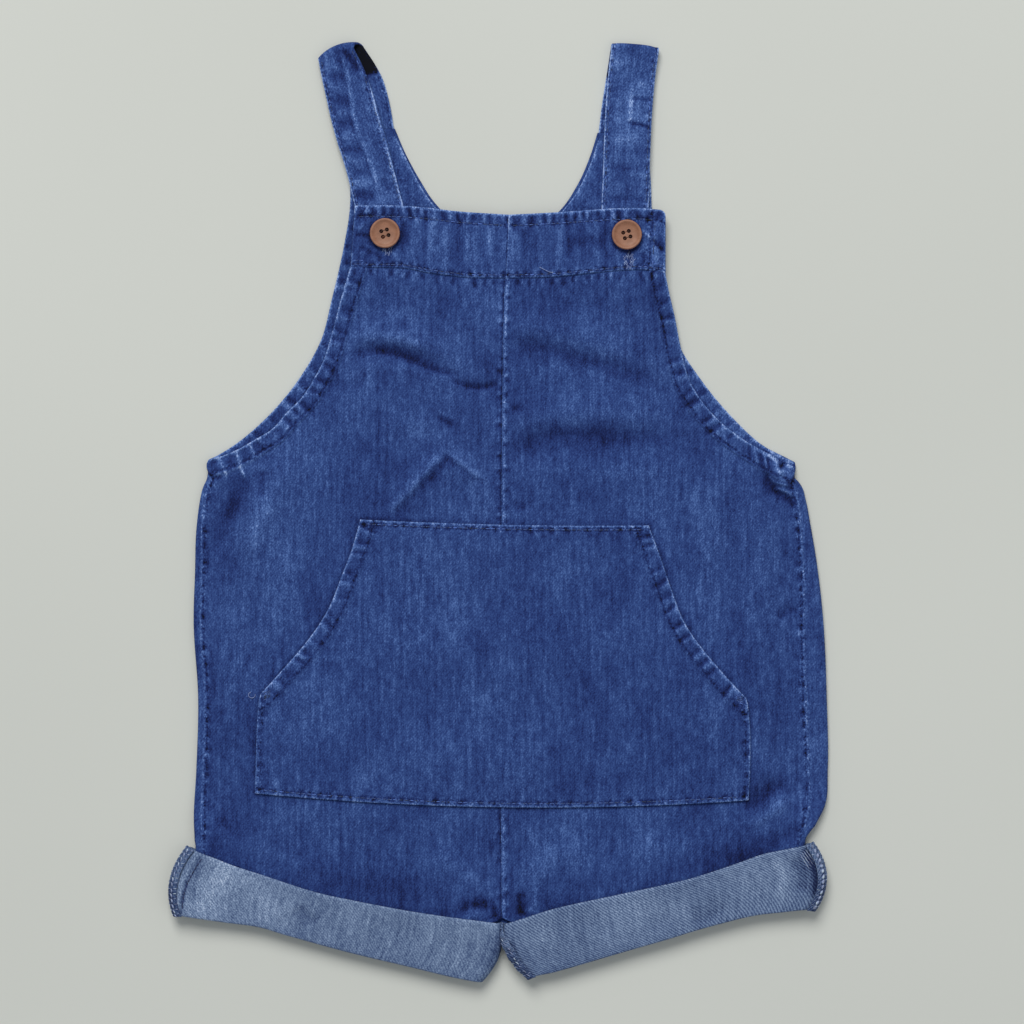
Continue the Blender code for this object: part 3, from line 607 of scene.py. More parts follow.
def along(columns, shares, spaced_by=2):
    """Points of a smooth curve through the rows of columns, at these shares of its length.

    The length is measured in the first spaced_by columns. A whole number gives that many even steps.
    """
    if isinstance(shares, int):
        shares = np.linspace(0, 1, shares)
    points = np.stack(columns, axis=1)
    knots = distances(points[:, :spaced_by])
    slopes = np.gradient(points, knots, axis=0)
    at = np.asarray(shares) * knots[-1]
    low = np.clip(np.searchsorted(knots, at, side="right") - 1, 0, len(knots) - 2)
    span = (knots[low + 1] - knots[low])[:, None]
    t = (at - knots[low])[:, None] / span
    start, end = points[low], points[low + 1]
    leave, arrive = slopes[low] * span, slopes[low + 1] * span
    return (
        (2 * t**3 - 3 * t**2 + 1) * start
        + (t**3 - 2 * t**2 + t) * leave
        + (3 * t**2 - 2 * t**3) * end
        + (t**3 - t**2) * arrive
    )


def measure(path, x, y):
    """How far each point is from a path, how far along it from 0 to 1, and 1 on its left side."""
    x, y = np.asarray(x, float), np.asarray(y, float)
    best = np.full(x.shape, np.inf)
    share, left = np.zeros(x.shape), np.zeros(x.shape)
    steps = len(path) - 1
    for i in range(steps):
        run = path[i + 1] - path[i]
        t = ((x - path[i, 0]) * run[0] + (y - path[i, 1]) * run[1]) / (run @ run)
        t = np.clip(t, 0, 1)
        aside_x, aside_y = x - path[i, 0] - t * run[0], y - path[i, 1] - t * run[1]
        away = np.hypot(aside_x, aside_y)
        nearer = away < best
        share = np.where(nearer, (i + t) / steps, share)
        left = np.where(nearer, run[0] * aside_y > run[1] * aside_x, left)
        best = np.minimum(best, away)
    return best, share, left


def distance_to(path, x, y):
    return measure(path, x, y)[:2]


def fading(share, taper):
    """1 along a crease, falling to 0 at its two ends."""
    return smooth_step(share / taper) * smooth_step((1 - share) / taper)


def centre_x(y):
    return np.interp(y, CENTRE["y"], CENTRE["x"])


def parting(side, y):
    """How far a leg's inner edge lies from the centre seam's line, below the crotch."""
    below = np.maximum(CROTCH_Y - y, 0)
    return CROTCH_PART * smooth_step(below / CROTCH_EASE) + CROTCH_SPREAD[side] * below


def cuff_edge(x):
    """The y of the cuffs' upper edge."""
    xs = np.concatenate([CUFF["left"]["top_x"], CUFF["right"]["top_x"][::-1]])
    ys = np.concatenate([CUFF["left"]["top_y"], CUFF["right"]["top_y"][::-1]])
    return np.interp(x, xs, ys)


def in_cuff(x, y):
    """1 in the cuffs and just above them, falling to 0 where the legs lie on the surface."""
    return 1 - smooth_step((y - cuff_edge(x) - CUFF_TUCK) / CUFF_RAMP)


def front_edges():
    """The two outer edges of the front, from the band to the cuffs."""
    edges = []
    for side in SIDES:
        arm, down = ARMHOLE[side], SIDE[side]
        upper, lower = pick(arm, "edge_x edge_y"), pick(down, "seam_x y")
        edges.append(np.concatenate([upper, lower], axis=1).T)
    return edges


def folds_near(x, y):
    """Each fold's height, width, distance and strength at these places.

    Its path is a quadratic bend from its start through its middle to its end.
    """
    t = np.linspace(0, 1, FOLD_STEPS)[:, None]
    for start_x, start_y, mid_x, mid_y, end_x, end_y, height, width in zip(*FOLDS.values()):
        start, mid, end = np.array([(start_x, start_y), (mid_x, mid_y), (end_x, end_y)])
        bend = 2 * mid - (start + end) / 2
        away, share = distance_to((1 - t) ** 2 * start + 2 * t * (1 - t) * bend + t**2 * end, x, y)
        yield height, width, away, fading(share, FOLD_TAPER)


def fold_height(x, y):
    """The front's folds, as soft ridges and troughs that fade out at their ends."""
    total = np.zeros(np.shape(x))
    for height, width, away, ends in folds_near(x, y):
        total += height * (0.25 + 0.75 * ends) * bell(away, width)
    return total


def front_under(x, y):
    """The height of the front's underside above the surface, without its finer relief."""
    inward = np.minimum(*(distance_to(edge, x, y)[0] for edge in front_edges()))
    low = ARMHOLE_REST + (SIDE_REST - ARMHOLE_REST) * smooth_step((30 - y) / 12)
    cuff = in_cuff(x, y)
    free = smooth_step(inward / PUFF_WIDTH)
    folds = fold_height(x, y) * smooth_step(inward / FOLD_FADE)
    height = low + (PUFF * free + folds) * (1 - cuff)
    height = np.maximum(height, CLOTH + TROUGH_GAP) + CUFF_FLOOR * cuff
    band = 1 - smooth_step((121 - y) / BAND_RAMP)
    return height + (band_under(x) - height) * band


def band_stations(side, shares):
    """Upper and lower edge of half the band, from the armhole to the centre seam."""
    return along(list(BAND[side].values()), shares)


def band_foot(side, x):
    """The y of the band's lower edge, where the front is sewn to it."""
    stations = band_stations(side, 60)
    order = np.argsort(stations[:, 2])
    return np.interp(x, stations[order, 2], stations[order, 3])


def band_under(x):
    """The height of the bib band's underside, lower in the middle than over the straps."""
    return BAND_REST - BAND_SAG * smooth_step((42 - np.abs(np.asarray(x) - 4)) / 24)


# Relief


def bell(away, width):
    return np.exp(-((away / width) ** 2))


def lumps(x, y, size_x, size_y, seed):
    """Smooth uneven ground between -1 and 1, with lumps of about these sizes."""
    cells = 64
    ground = np.random.default_rng(seed).uniform(-1, 1, (cells, cells))
    u, v = x / size_x + 31.3, y / size_y + 17.9
    i, j = np.floor(u).astype(int), np.floor(v).astype(int)
    s, t = smooth_step(u - i), smooth_step(v - j)
    i, j, k, m = i % cells, j % cells, (i + 1) % cells, (j + 1) % cells
    low = ground[i, j] * (1 - s) + ground[k, j] * s
    high = ground[i, m] * (1 - s) + ground[k, m] * s
    return low * (1 - t) + high * t


class Relief:
    """What a piece adds to its plain form: its height, the painted shade of its hollows, and its ridges
    that are worn light and given a painted highlight.

    inner is the painted shade of its hidden face, and seam is 1 where seams and hems make the worn
    look uneven.
    """

    def __init__(self, x, y):
        self.x, self.y = x, y
        self.height, self.deep, self.wear, self.inner, self.seam = np.zeros((5, *x.shape))

    def take(self, other, share):
        """Add another relief's height and marks where share is above 0."""
        for mark in ("height", "deep", "wear"):
            setattr(self, mark, getattr(self, mark) + share * getattr(other, mark))

    def near(self, places):
        """How far each point is from a crease's path, on which side of it, and the crease's strength."""
        path = along([np.array(places[::2]), np.array(places[1::2])], PATH_STEPS)
        away, share, left = measure(path, self.x, self.y)
        return away, left, fading(share, CREASE_TAPER)

    def marks(self, rows):
        for height, width, deep, wear, *places in rows:
            away, _, ends = self.near(places)
            # A mark's painted shade darkens it, and its worn look with painted highlight lightens it.
            self.add(bell(away, width) * ends, height, deep, wear)

    def add(self, shape, height=0.0, deep=0.0, wear=0.0):
        self.height += height * shape
        self.deep += deep * shape
        self.wear += wear * shape

    def undulate(self, rise, seed):
        """The slight unevenness of cloth that was washed and laid down by hand."""
        broad = lumps(self.x, self.y, 21, 34, seed)
        fine = lumps(self.x, self.y, 7, 12, seed + 1)
        self.height += rise * (broad + 0.4 * fine)
        # The tone follows the lumps: lighter where they rise, as a painted highlight, and darker where
        # they sink, as painted shade.
        self.wear += 0.16 * np.maximum(broad, 0)
        self.deep += 0.22 * np.maximum(-broad, 0)

    def creases(self, folds, reach=1.0, shade=1.0):
        """Soft ridges and troughs. A trough slopes gently on the left of its path."""
        for height, width, *places in folds:
            away, left, ends = self.near(places)
            # A ridge is painted lighter as a highlight, and a trough is painted darker as shade.
            if height > 0:
                self.add(bell(away, width) * ends, reach * height, 0, shade * min(0.5, 0.45 * height))
                continue
            shape = bell(away, width * (0.75 + 1.1 * left)) * ends
            self.add(shape, reach * height, shade * min(0.85, -1.6 * height / width))

    def puckers(self, away, run, length, count, seed, reach, depth=0.6, tone=1.0):
        """Uneven valleys across a hem, from its edge to a little past its stitching."""
        chance = np.random.default_rng(seed)
        places = (np.arange(count) + 0.5 + chance.uniform(-0.32, 0.32, count)) * length / count
        for place in places:
            slant = chance.uniform(-0.2, 0.3)
            wide = chance.uniform(0.8, 1.5)
            strength = chance.uniform(0.45, 1)
            last = reach * chance.uniform(0.85, 1.5)
            offset = run - place - slant * away
            span = smooth_step(away / 1.3) * (1 - smooth_step((away - 0.55 * last) / (0.45 * last)))
            # Each valley is painted darker as shade; its crest is painted lighter, as worn cloth with a
            # highlight.
            self.add(bell(offset, wide) * span, -1.2 * depth * strength, 1.1 * strength * tone)
            crest = bell(offset - 2 * wide, 1.1 * wide) * span
            self.add(crest, 0.6 * depth * strength, 0, 0.7 * strength * tone)

    def groove(self, away, width=0.7, depth=0.3, deep=0.75):
        """The line that a row of stitches presses into the cloth."""
        # The groove is painted darker, as the shade in it.
        self.add(bell(away, width), -depth, deep)
        self.seam += bell(away, 1.5)

    def edge_wear(self, away, width=1.0, wear=1.3):
        """A folded edge rubs light."""
        uneven = 0.88 + 0.17 * lumps(self.x, self.y, 5, 5, 91)
        self.add(bell(away, width) * uneven, 0, 0, wear)
        self.seam += 0.5 * bell(away, 1.4)


# Shells


def row_shares(length, count):
    """Shares of a length, evenly spaced but closer together near both of its rounded edges."""
    inner = np.linspace(EDGE_STEPS[-1], length - EDGE_STEPS[-1], count)
    return np.concatenate([EDGE_STEPS[:-1], inner, length - EDGE_STEPS[-2::-1]]) / length


def graded_shares(length, *stretches):
    """Shares of a length, in stretches that are each given as their end and how many steps they take."""
    places = [np.zeros(1)]
    for end, steps in stretches:
        places.append(np.linspace(places[-1][-1], end, steps + 1)[1:])
    return np.concatenate(places) / length


def rounded_shares(length, *stretches):
    """The same, but closer together near both of its rounded edges."""
    edge = EDGE_STEPS[-1]
    inner = edge + (length - 2 * edge) * graded_shares(length, *stretches)
    return np.concatenate([EDGE_STEPS[:-1], inner, length - EDGE_STEPS[-2::-1]]) / length


def path_length(path):
    return distances(path)[-1]


def grid_normals(grid, row, column, closed=False):
    """Unit normals of a grid whose rows may be closed rings, turned to point up at one row and column."""
    if closed:
        wide = np.concatenate([grid[:, -1:], grid, grid[:, :1]], axis=1)
        across = (wide[:, 2:] - wide[:, :-2]) / 2
    else:
        across = np.gradient(grid, axis=1)
    down = np.gradient(grid, axis=0)
    normals = np.cross(across, down)
    normals /= np.maximum(np.linalg.norm(normals, axis=2, keepdims=True), 1e-9)
    return -normals if normals[row, column, 2] < 0 else normals


def edge_distance(grid, closed):
    """How far each point of a grid is from the grid's edges, measured along its rows and columns."""
    down = distances(grid)
    nearest = np.minimum(down, down[-1] - down)
    if not closed:
        across = distances(grid, 1)
        nearest = np.minimum(nearest, np.minimum(across, across[:, -1:] - across))
    return nearest


def shell(name, under, over, cloth_at, relief, look, closed=False):
    """A closed piece of cloth between two grids of points, with rounded edges.

    cloth_at gives each point's place across and along the threads of the cloth.
    """
    middle, half = (under + over) / 2, (over - under) / 2
    radius = np.linalg.norm(half, axis=2)
    near = np.clip(edge_distance(middle, closed) / np.maximum(radius, 0.1), 0, 1)
    swell = np.sqrt(1 - (1 - near) ** 2)[:, :, None]
    under, over = middle - half * swell, middle + half * swell
    rows, columns = near.shape
    top = np.arange(rows * columns).reshape(rows, columns)
    inside = np.zeros((rows, columns), bool)
    inside[1:-1, slice(None) if closed else slice(1, -1)] = True
    bottom = top.copy()
    bottom[inside] = rows * columns + np.arange(inside.sum())
    points = np.concatenate([over.reshape(-1, 3), under[inside]])
    points[:, 2] = np.maximum(points[:, 2], 0)  # nothing sinks into the surface it lies on
    last = columns if closed else columns - 1
    i, j = (index.ravel() for index in np.meshgrid(np.arange(rows - 1), np.arange(last), indexing="ij"))
    corners = [(i, j), (i, j + 1), (i + 1, j + 1), (i + 1, j)]
    upper = np.stack([top[r, c % columns] for r, c in corners], axis=1)
    lower = np.stack([bottom[r, c % columns] for r, c in corners], axis=1)
    marks = np.stack([cloth_at[r, c] for r, c in corners], axis=1)
    r, c = rows // 2, columns // 2
    facing = np.cross(over[r, c + 1] - over[r, c], over[r + 1, c] - over[r, c]) @ half[r, c]
    if facing > 0:
        lower, lower_marks, upper_marks = lower[:, ::-1], marks[:, ::-1], marks
    else:
        upper, upper_marks, lower_marks = upper[:, ::-1], marks[:, ::-1], marks
    faces = np.concatenate([upper, lower])
    uvs = np.concatenate([upper_marks, lower_marks]) / UV_UNIT
    mesh = bpy.data.meshes.new(name)
    mesh.from_pydata((points * MM).tolist(), [], faces.tolist())
    mesh.uv_layers.new(name="cloth").data.foreach_set("uv", uvs.ravel())
    # Each point takes its painted shade, its worn look with painted highlight and its seam mark; the
    # hidden face also takes inner, its painted shade.
    for mark in ("wear", "deep", "seam"):
        values = getattr(relief, mark)
        hidden = values + relief.inner if mark == "deep" else values
        every = np.concatenate([values.ravel(), hidden[inside]])
        mesh.attributes.new(mark, "FLOAT", "POINT").data.foreach_set("value", np.clip(every, 0, 2.4))
    mesh.shade_smooth()
    mesh.materials.append(look)
    return placed(name, mesh)


def placed(name, mesh):
    piece = bpy.data.objects.new(name, mesh)
    bpy.context.scene.collection.objects.link(piece)
    return piece


def tree_of(piece):
    """A piece's faces, to lay threads on."""
    return BVHTree.FromObject(bpy.data.objects[piece], bpy.context.evaluated_depsgraph_get())


def lifted(x, y, height):
    return np.stack([x, y, height], axis=-1)


def declare(piece, node, slot, **sheet):
    """Every piece lies still on the one body, and stands for its solid."""
    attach(piece, "root")
    if node:
        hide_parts(node)


def cloth(node, under, over, cloth_at, relief, look, closed=False, slot="denim", **sheet):
    """One sheet of cloth in place of its solid."""
    declare(shell(f"{node}_cloth", under, over, cloth_at, relief, look, closed), node, slot, **sheet)


# Materials


def linear(tone):
    """A colour in 0 to 255 steps, as the linear albedo that looks like it in this light."""
    steps = np.array(tone) / 255
    light = np.where(steps <= 0.04045, steps / 12.92, ((steps + 0.055) / 1.055) ** 2.4)
    return (*(light / WHITE_LEVEL), 1.0)


class Look:
    """A material, and short ways to add the nodes that feed its shader."""

    def __init__(self, name, roughness, sheen=0.0):
        self.material = bpy.data.materials.new(name)
        self.material.use_nodes = True
        self.tree = self.material.node_tree
        self.shader = self.tree.nodes["Principled BSDF"]
        self.shader.inputs["Roughness"].default_value = roughness
        self.shader.inputs["Sheen Weight"].default_value = sheen
        self.shader.inputs["Sheen Roughness"].default_value = 0.6

    def node(self, kind, inputs, **settings):
        made = self.tree.nodes.new(kind)
        for key, value in settings.items():
            setattr(made, key, value)
        for key, value in inputs.items():
            if isinstance(value, bpy.types.NodeSocket):
                self.tree.links.new(value, made.inputs[key])
            else:
                made.inputs[key].default_value = value
        return made

    def calc(self, operation, first, second=0.0, third=0.0):
        return self.node("ShaderNodeMath", {0: first, 1: second, 2: third}, operation=operation).outputs[0]

    def cloth_place(self):
        """Where a point lies in its cloth, in millimetres."""
        uv = self.node("ShaderNodeUVMap", {}, uv_map="cloth").outputs["UV"]
        scale = (UV_UNIT, UV_UNIT, UV_UNIT)
        return self.node("ShaderNodeVectorMath", {0: uv, 1: scale}, operation="MULTIPLY").outputs[0]

    def noise(self, place, size_x, size_y, detail=2.0, roughness=0.5, shift=0.0):
        """Noise from about -1 to 1, with spots of this size in millimetres."""
        spot = self.node(
            "ShaderNodeMapping",
            {"Vector": place, "Scale": (1 / size_x, 1 / size_y, 1), "Location": (shift, shift, shift)},
        ).outputs[0]
        grain = self.node(
            "ShaderNodeTexNoise", {"Vector": spot, "Scale": 1.0, "Detail": detail, "Roughness": roughness}
        ).outputs["Fac"]
        return self.calc("MULTIPLY_ADD", grain, 4.0, -2.0)

    def grain(self, scale, detail, stretched=None):
        """Noise that is fixed to the piece, from 0 to 1."""
        place = self.node("ShaderNodeTexCoord", {}).outputs["Object"]
        if stretched:
            place = self.node("ShaderNodeMapping", {"Vector": place, "Scale": stretched}).outputs[0]
        inputs = {"Vector": place, "Scale": scale, "Detail": detail}
        return self.node("ShaderNodeTexNoise", inputs).outputs["Fac"]

    def mark(self, name):
        return self.node("ShaderNodeAttribute", {}, attribute_name=name).outputs["Fac"]

    def sum(self, start, *terms):
        """start plus each term's socket times its weight."""
        total = start
        for socket, weight in terms:
            total = self.calc("MULTIPLY_ADD", socket, weight, total)
        return total

    def tones(self, factor, stops):
        ramp = self.node("ShaderNodeValToRGB", {"Fac": factor})
        elements = ramp.color_ramp.elements
        while len(elements) < len(stops):
            elements.new(0.5)
        for element, (position, tone) in zip(elements, stops):
            element.position = position
            element.color = linear(tone)
        return ramp.outputs["Color"]

    def feed(self, name, socket):
        self.tree.links.new(socket, self.shader.inputs[name])

    def bump(self, height, distance, strength):
        inputs = {"Height": height, "Distance": distance * MM, "Strength": strength}
        self.feed("Normal", self.node("ShaderNodeBump", inputs).outputs["Normal"])


def denim(name, stops, twill_angle, twill, contrast, cloudy):
    """Washed twill: diagonal lines, slubby streaks along the warp, flecks and blotches."""
    look = Look(name, 0.92, sheen=0.02)
    look.shader.inputs["Specular IOR Level"].default_value = 0.15
    place = look.cloth_place()
    turned = look.node(
        "ShaderNodeMapping", {"Vector": place, "Rotation": (0, 0, math.radians(twill_angle))}
    ).outputs[0]
    lines = look.node(
        "ShaderNodeTexWave",
        {
            "Vector": turned,
            "Scale": 2 * math.pi / (20 * TWILL_PITCH),
            "Distortion": 3.2,
            "Detail": 2.0,
            "Detail Scale": 2.5,
            "Detail Roughness": 0.6,
        },
        bands_direction="X",
    ).outputs["Fac"]
    lines = look.calc("MULTIPLY_ADD", lines, 2.0, -1.0)
    streak = look.noise(place, 0.8, 6, 3.0, 0.6)
    slub = look.noise(place, 1.9, 30, 2.0, 0.55, 3.1)
    mottle = look.noise(place, 2.2, 3.6, 2.0, 0.6, 6.4)
    blotch = look.noise(place, 14, 22, 3.0, 0.55, 7.7)
    fleck = look.noise(place, 0.6, 0.9, 2.0, 0.7, 5.3)
    patch = look.noise(place, 4.5, 8, 2.0, 0.5, 2.2)
    bead = look.calc("MULTIPLY", look.noise(place, 1.3, 1.3, 2.0, 0.6, 9.1), look.mark("seam"))
    wear, deep = look.mark("wear"), look.mark("deep")
    flecked_wear_and_highlight = look.calc("MULTIPLY", wear, look.calc("MULTIPLY_ADD", fleck, 0.5, 1.0))
    # The cloth is painted darker by its painted shade mark, and lighter by its worn look with painted
    # highlight.
    factor = look.sum(
        0.43,
        (lines, twill),
        (streak, 0.09 * contrast),
        (slub, 0.1 * contrast),
        (mottle, 0.09 * cloudy),
        (blotch, 0.07 * cloudy),
        (fleck, 0.2 * contrast),
        (patch, 0.06 * cloudy),
        (bead, 0.26),
        (flecked_wear_and_highlight, 0.3),
        (deep, -0.32),
    )
    look.feed("Base Color", look.tones(look.sum(0.1, (factor, 0.9)), stops))
    relief = look.sum(0.5, (lines, twill), (streak, 0.3), (fleck, 0.2), (bead, 0.4))
    look.bump(relief, 0.12, 0.6)
    look.feed("Roughness", look.sum(0.9, (flecked_wear_and_highlight, -0.06), (streak, 0.02)))
    return look.material


def thread(name, tone, spread):
    """Sewing thread: twisted, dark in places and rubbed pale in others."""
    look = Look(name, 0.7, sheen=0.05)
    shade = look.grain(420, 3)
    tone = np.array(tone)
    stops = ((0.5 - spread, tone * 0.45), (0.5, tone), (0.5 + spread, np.minimum(tone * 1.5, 215)))
    look.feed("Base Color", look.tones(shade, stops))
    look.bump(shade, 0.05, 0.4)
    return look.material


def horn(name):
    """The buttons: warm brown, turned, with faint streaks and rings."""
    look = Look(name, 0.5)
    grain = look.grain(1, 4, (300, 420, 400))
    fine = look.grain(2600, 2)
    factor = look.sum(0.1, (grain, 0.55), (fine, 0.25))
    look.feed("Base Color", look.tones(factor, BUTTON_TONES))
    look.feed("Roughness", look.sum(0.42, (fine, 0.25)))
    look.bump(fine, 0.04, 0.3)
    return look.material


def floor_look():
    look = Look("floor", 0.9)
    shade = look.grain(3, 1)
    pale = np.array(FLOOR_TONE)
    look.feed("Base Color", look.tones(shade, ((0.3, pale - 2), (0.7, pale + 2))))
    return look.material


DENIM = denim("denim_face", DENIM_TONES, 40, 0.035, 0.95, 0.95)
WRONG_SIDE = {
    "left": denim("denim_wrong_side_left", WRONG_SIDE_TONES, -40, 0.07, 1.15, 0.45),
    "right": denim("denim_wrong_side_right", WRONG_SIDE_TONES, -40, 0.17, 0.9, 0.4),
}
BLUE_THREAD = thread("thread_blue", THREAD_BLUE, 0.14)
NAVY_THREAD = thread("thread_navy", THREAD_NAVY, 0.2)
PALE_THREAD = thread("thread_pale", THREAD_PALE, 0.25)
WORN_THREAD = thread("thread_worn", THREAD_WORN, 0.25)
BROWN_THREAD = thread("thread_brown", THREAD_BROWN, 0.2)
HORN = horn("button_horn")


# The panels


def armhole_path(side):
    """A front's armhole edge, from the band to the underarm."""
    return along(pick(ARMHOLE[side], "edge_x edge_y"), 60)


def side_rows(side, body_rows, cuff_rows_count):
    """Rows from the underarm into the cuff, at the same heights on the front and the back."""
    columns = pick(SIDE[side], "outer_x y seam_x centre_y")
    body = along([column[:-ROWS_IN_CUFF] for column in columns], body_rows)
    tail = along([column[-ROWS_IN_CUFF - 1 :] for column in columns], cuff_rows_count)[1:]
    return np.concatenate([body, tail])


def seam_path(side):
    """The side seam, from the underarm to the cuff."""
    return side_rows(side, 60, 4)[:, [2, 1]]


def pocket_edge(side):
    """The pocket's curved opening edge and the straight side below it."""
    return pick(POCKET, f"{side}_x {side}_y")


def pocket_edges(side):
    """The same as two fine paths: the curved opening, and the straight side."""
    columns = pocket_edge(side)
    curve = along([column[:POCKET_OPENING_ROWS] for column in columns], 50)
    return curve, along([column[POCKET_OPENING_ROWS - 1 :] for column in columns], 20)


def pocket_outline():
    """The whole outline of the pocket, as a closed path."""
    left, right = (np.stack(pocket_edge(side), axis=1) for side in SIDES)
    top, middle = ([(left[row] + right[row]) / 2 - (0, POCKET["sag"][row])] for row in (0, -1))
    return np.concatenate([left, middle, right[::-1], top, left[:1]])


def under_pocket(x, y):
    """1 under the pocket and 0 outside it."""
    left = np.interp(-y, -POCKET["left_y"], POCKET["left_x"])
    right = np.interp(-y, -POCKET["right_y"], POCKET["right_x"])
    inside = smooth_step((x - left) / 4) * smooth_step((right - x) / 4)
    return inside * smooth_step((-4 - y) / 4) * smooth_step((y + 146) / 4)


def bulge(side, y):
    """How far the underarm corner bulges beyond its plain outline."""
    return sum(out * bell(y - middle, tall) for out, tall, middle in CORNER_BULGES[side])


def joined(upper, lower):
    """The armhole's rows and the side's, and even steps round the underarm corner between them."""
    upper, lower = np.array(upper, float), np.array(lower, float)
    shares = np.linspace(0, 1, CORNER_STEPS + 1)[1:-1, None]
    return np.concatenate([upper, between(upper[-1], lower[0], shares), lower])


def front_points(side):
    """The front's grid of places, from the band to the cuff and from its edge to the centre seam."""
    sign = SIDES[side]
    columns = list(ARMHOLE[side].values())
    length = path_length(np.stack(columns[:2], axis=1))
    upper = along(columns, rounded_shares(length, (length - FINE, 84), (length, FINE_STEPS))[:-4])
    last = len(upper) - 1
    arm_rows = [(x, y, centre_x(middle), middle, i / last) for i, (x, y, middle) in enumerate(upper)]
    side_sections = []
    length = path_length(np.stack([SIDE[side]["outer_x"], SIDE[side]["y"]], axis=1)[:-ROWS_IN_CUFF])
    for _, y, x, middle in side_rows(side, graded_shares(length, (FINE, FINE_STEPS), (length, 100)), 14):
        middle_x = centre_x(middle) + sign * parting(side, middle)
        side_sections.append((x - sign * SEAM_GAP / 2, y, middle_x, middle, 1))
    first_y, last_y = upper[0, 1], upper[0, 2]
    rows = []
    for x, y, middle_x, middle_y, share in joined(arm_rows, side_sections):
        start = np.array([x + sign * (bulge(side, y) + 1.1 * bell(y - CORNER_Y[side], 4)), y])
        end = np.array([middle_x + sign * SEAM_GAP / 2, middle_y])
        length = np.linalg.norm(end - start)
        at = rounded_shares(length, (0.15 * length, 33), (length, 90))
        points = between(start, end, at[:, None])
        foot = band_foot(side, points[:, 0]) - SEAM_GAP - first_y - at * (last_y - first_y)
        points[:, 1] += foot * (1 - smooth_step(share / 0.3))
        rows.append(points)
    return np.array(rows)


def front_relief(side, x, y):
    sign = SIDES[side]
    relief = Relief(x, y)
    relief.undulate(0.2, 11 + sign)
    relief.creases(FRONT_CREASES)
    relief.marks(FRONT_MARKS)
    relief.marks(CORNER_MARKS[side])
    # The folds' troughs are painted darker as shade, and their ridges lighter as a highlight.
    for height, width, away, ends in folds_near(x, y):
        relief.add(bell(away, 0.7 * width) * ends, 0, 0.25 * max(-height, 0), 0.1 * max(height, 0))
    arm = armhole_path(side)
    away, share = distance_to(arm, x, y)
    length = path_length(arm)
    on_hem = 1 - smooth_step((away - HEM_WIDTH + 0.4) / 1.2)
    relief.add(on_hem * smooth_step((y - 10) / 10), 0.75)
    marked = away + 40 * smooth_step((PUCKERS_UNTIL[side] - y) / 3)
    relief.puckers(marked, share * length, length, ARMHOLE_PUCKERS[side], 5 + sign, HEM_WIDTH, 0.6, 0.85)
    relief.groove(away - STITCH_LINE)
    relief.edge_wear(away)
    seam_away, seam_share = distance_to(seam_path(side), x, y)
    relief.add(1 - smooth_step((seam_away - 2.6) / 1.2), 0.3)
    relief.puckers(seam_away, seam_share * 170, 170, 26, 31 + sign, 3.2, 0.22)
    relief.groove(seam_away - SEAM_STITCH, 0.5, 0.15, 0.5)
    relief.edge_wear(seam_away, 0.7, 0.7)
    middle = np.abs(x - centre_x(y))
    if side == "right":
        relief.add(1 - smooth_step((middle - 2.0) / 1.2), 0.3)
        relief.edge_wear(middle - 0.8, 0.7, 1.1)
    else:
        # A painted shade line along the centre seam.
        relief.add(bell(middle, 1.0), -0.2, 1.2)
    relief.puckers(middle, y + 210, 330, 44, 47 + sign, 3.0, 0.18)
    foot = band_foot(side, x) - y
    relief.puckers(foot, sign * x, 80, 14, 61 + sign, 4.5, 0.3)
    # A thin painted shadow on the front round the pocket's edges.
    outline = distance_to(pocket_outline(), x, y)[0]
    relief.add(bell(outline, 1.3) * (1 - under_pocket(x, y)), -0.1, 0.4)
    # Painted shade on the legs as they near the cuffs.
    cuff = in_cuff(x, y + 14)
    relief.add(cuff, 0, 0.25)
    calm = 1 - under_pocket(x, y)
    relief.height *= 0.2 + 0.8 * calm
    return relief


def make_front(side):
    places = front_points(side)
    x, y = np.moveaxis(places, 2, 0)
    relief = front_relief(side, x, y)
    base = front_under(x, y)
    on_hem = 1 - smooth_step((distance_to(armhole_path(side), x, y)[0] - HEM_WIDTH) / 1.2)
    under = np.maximum(base + np.minimum(relief.height, 0.6) - 0.3 * on_hem, CLOTH + 0.45)
    over = base + CLOTH + relief.height
    over = np.maximum(over, under + 0.8)
    under, over = lifted(x, y, under), lifted(x, y, over)
    sheet = {"flat": (0.17, 0.36), "area": 0.0440, "rests_on": [f"back_{side}"]}
    cloth(f"front_{side}", under, over, places, relief, DENIM, **sheet)


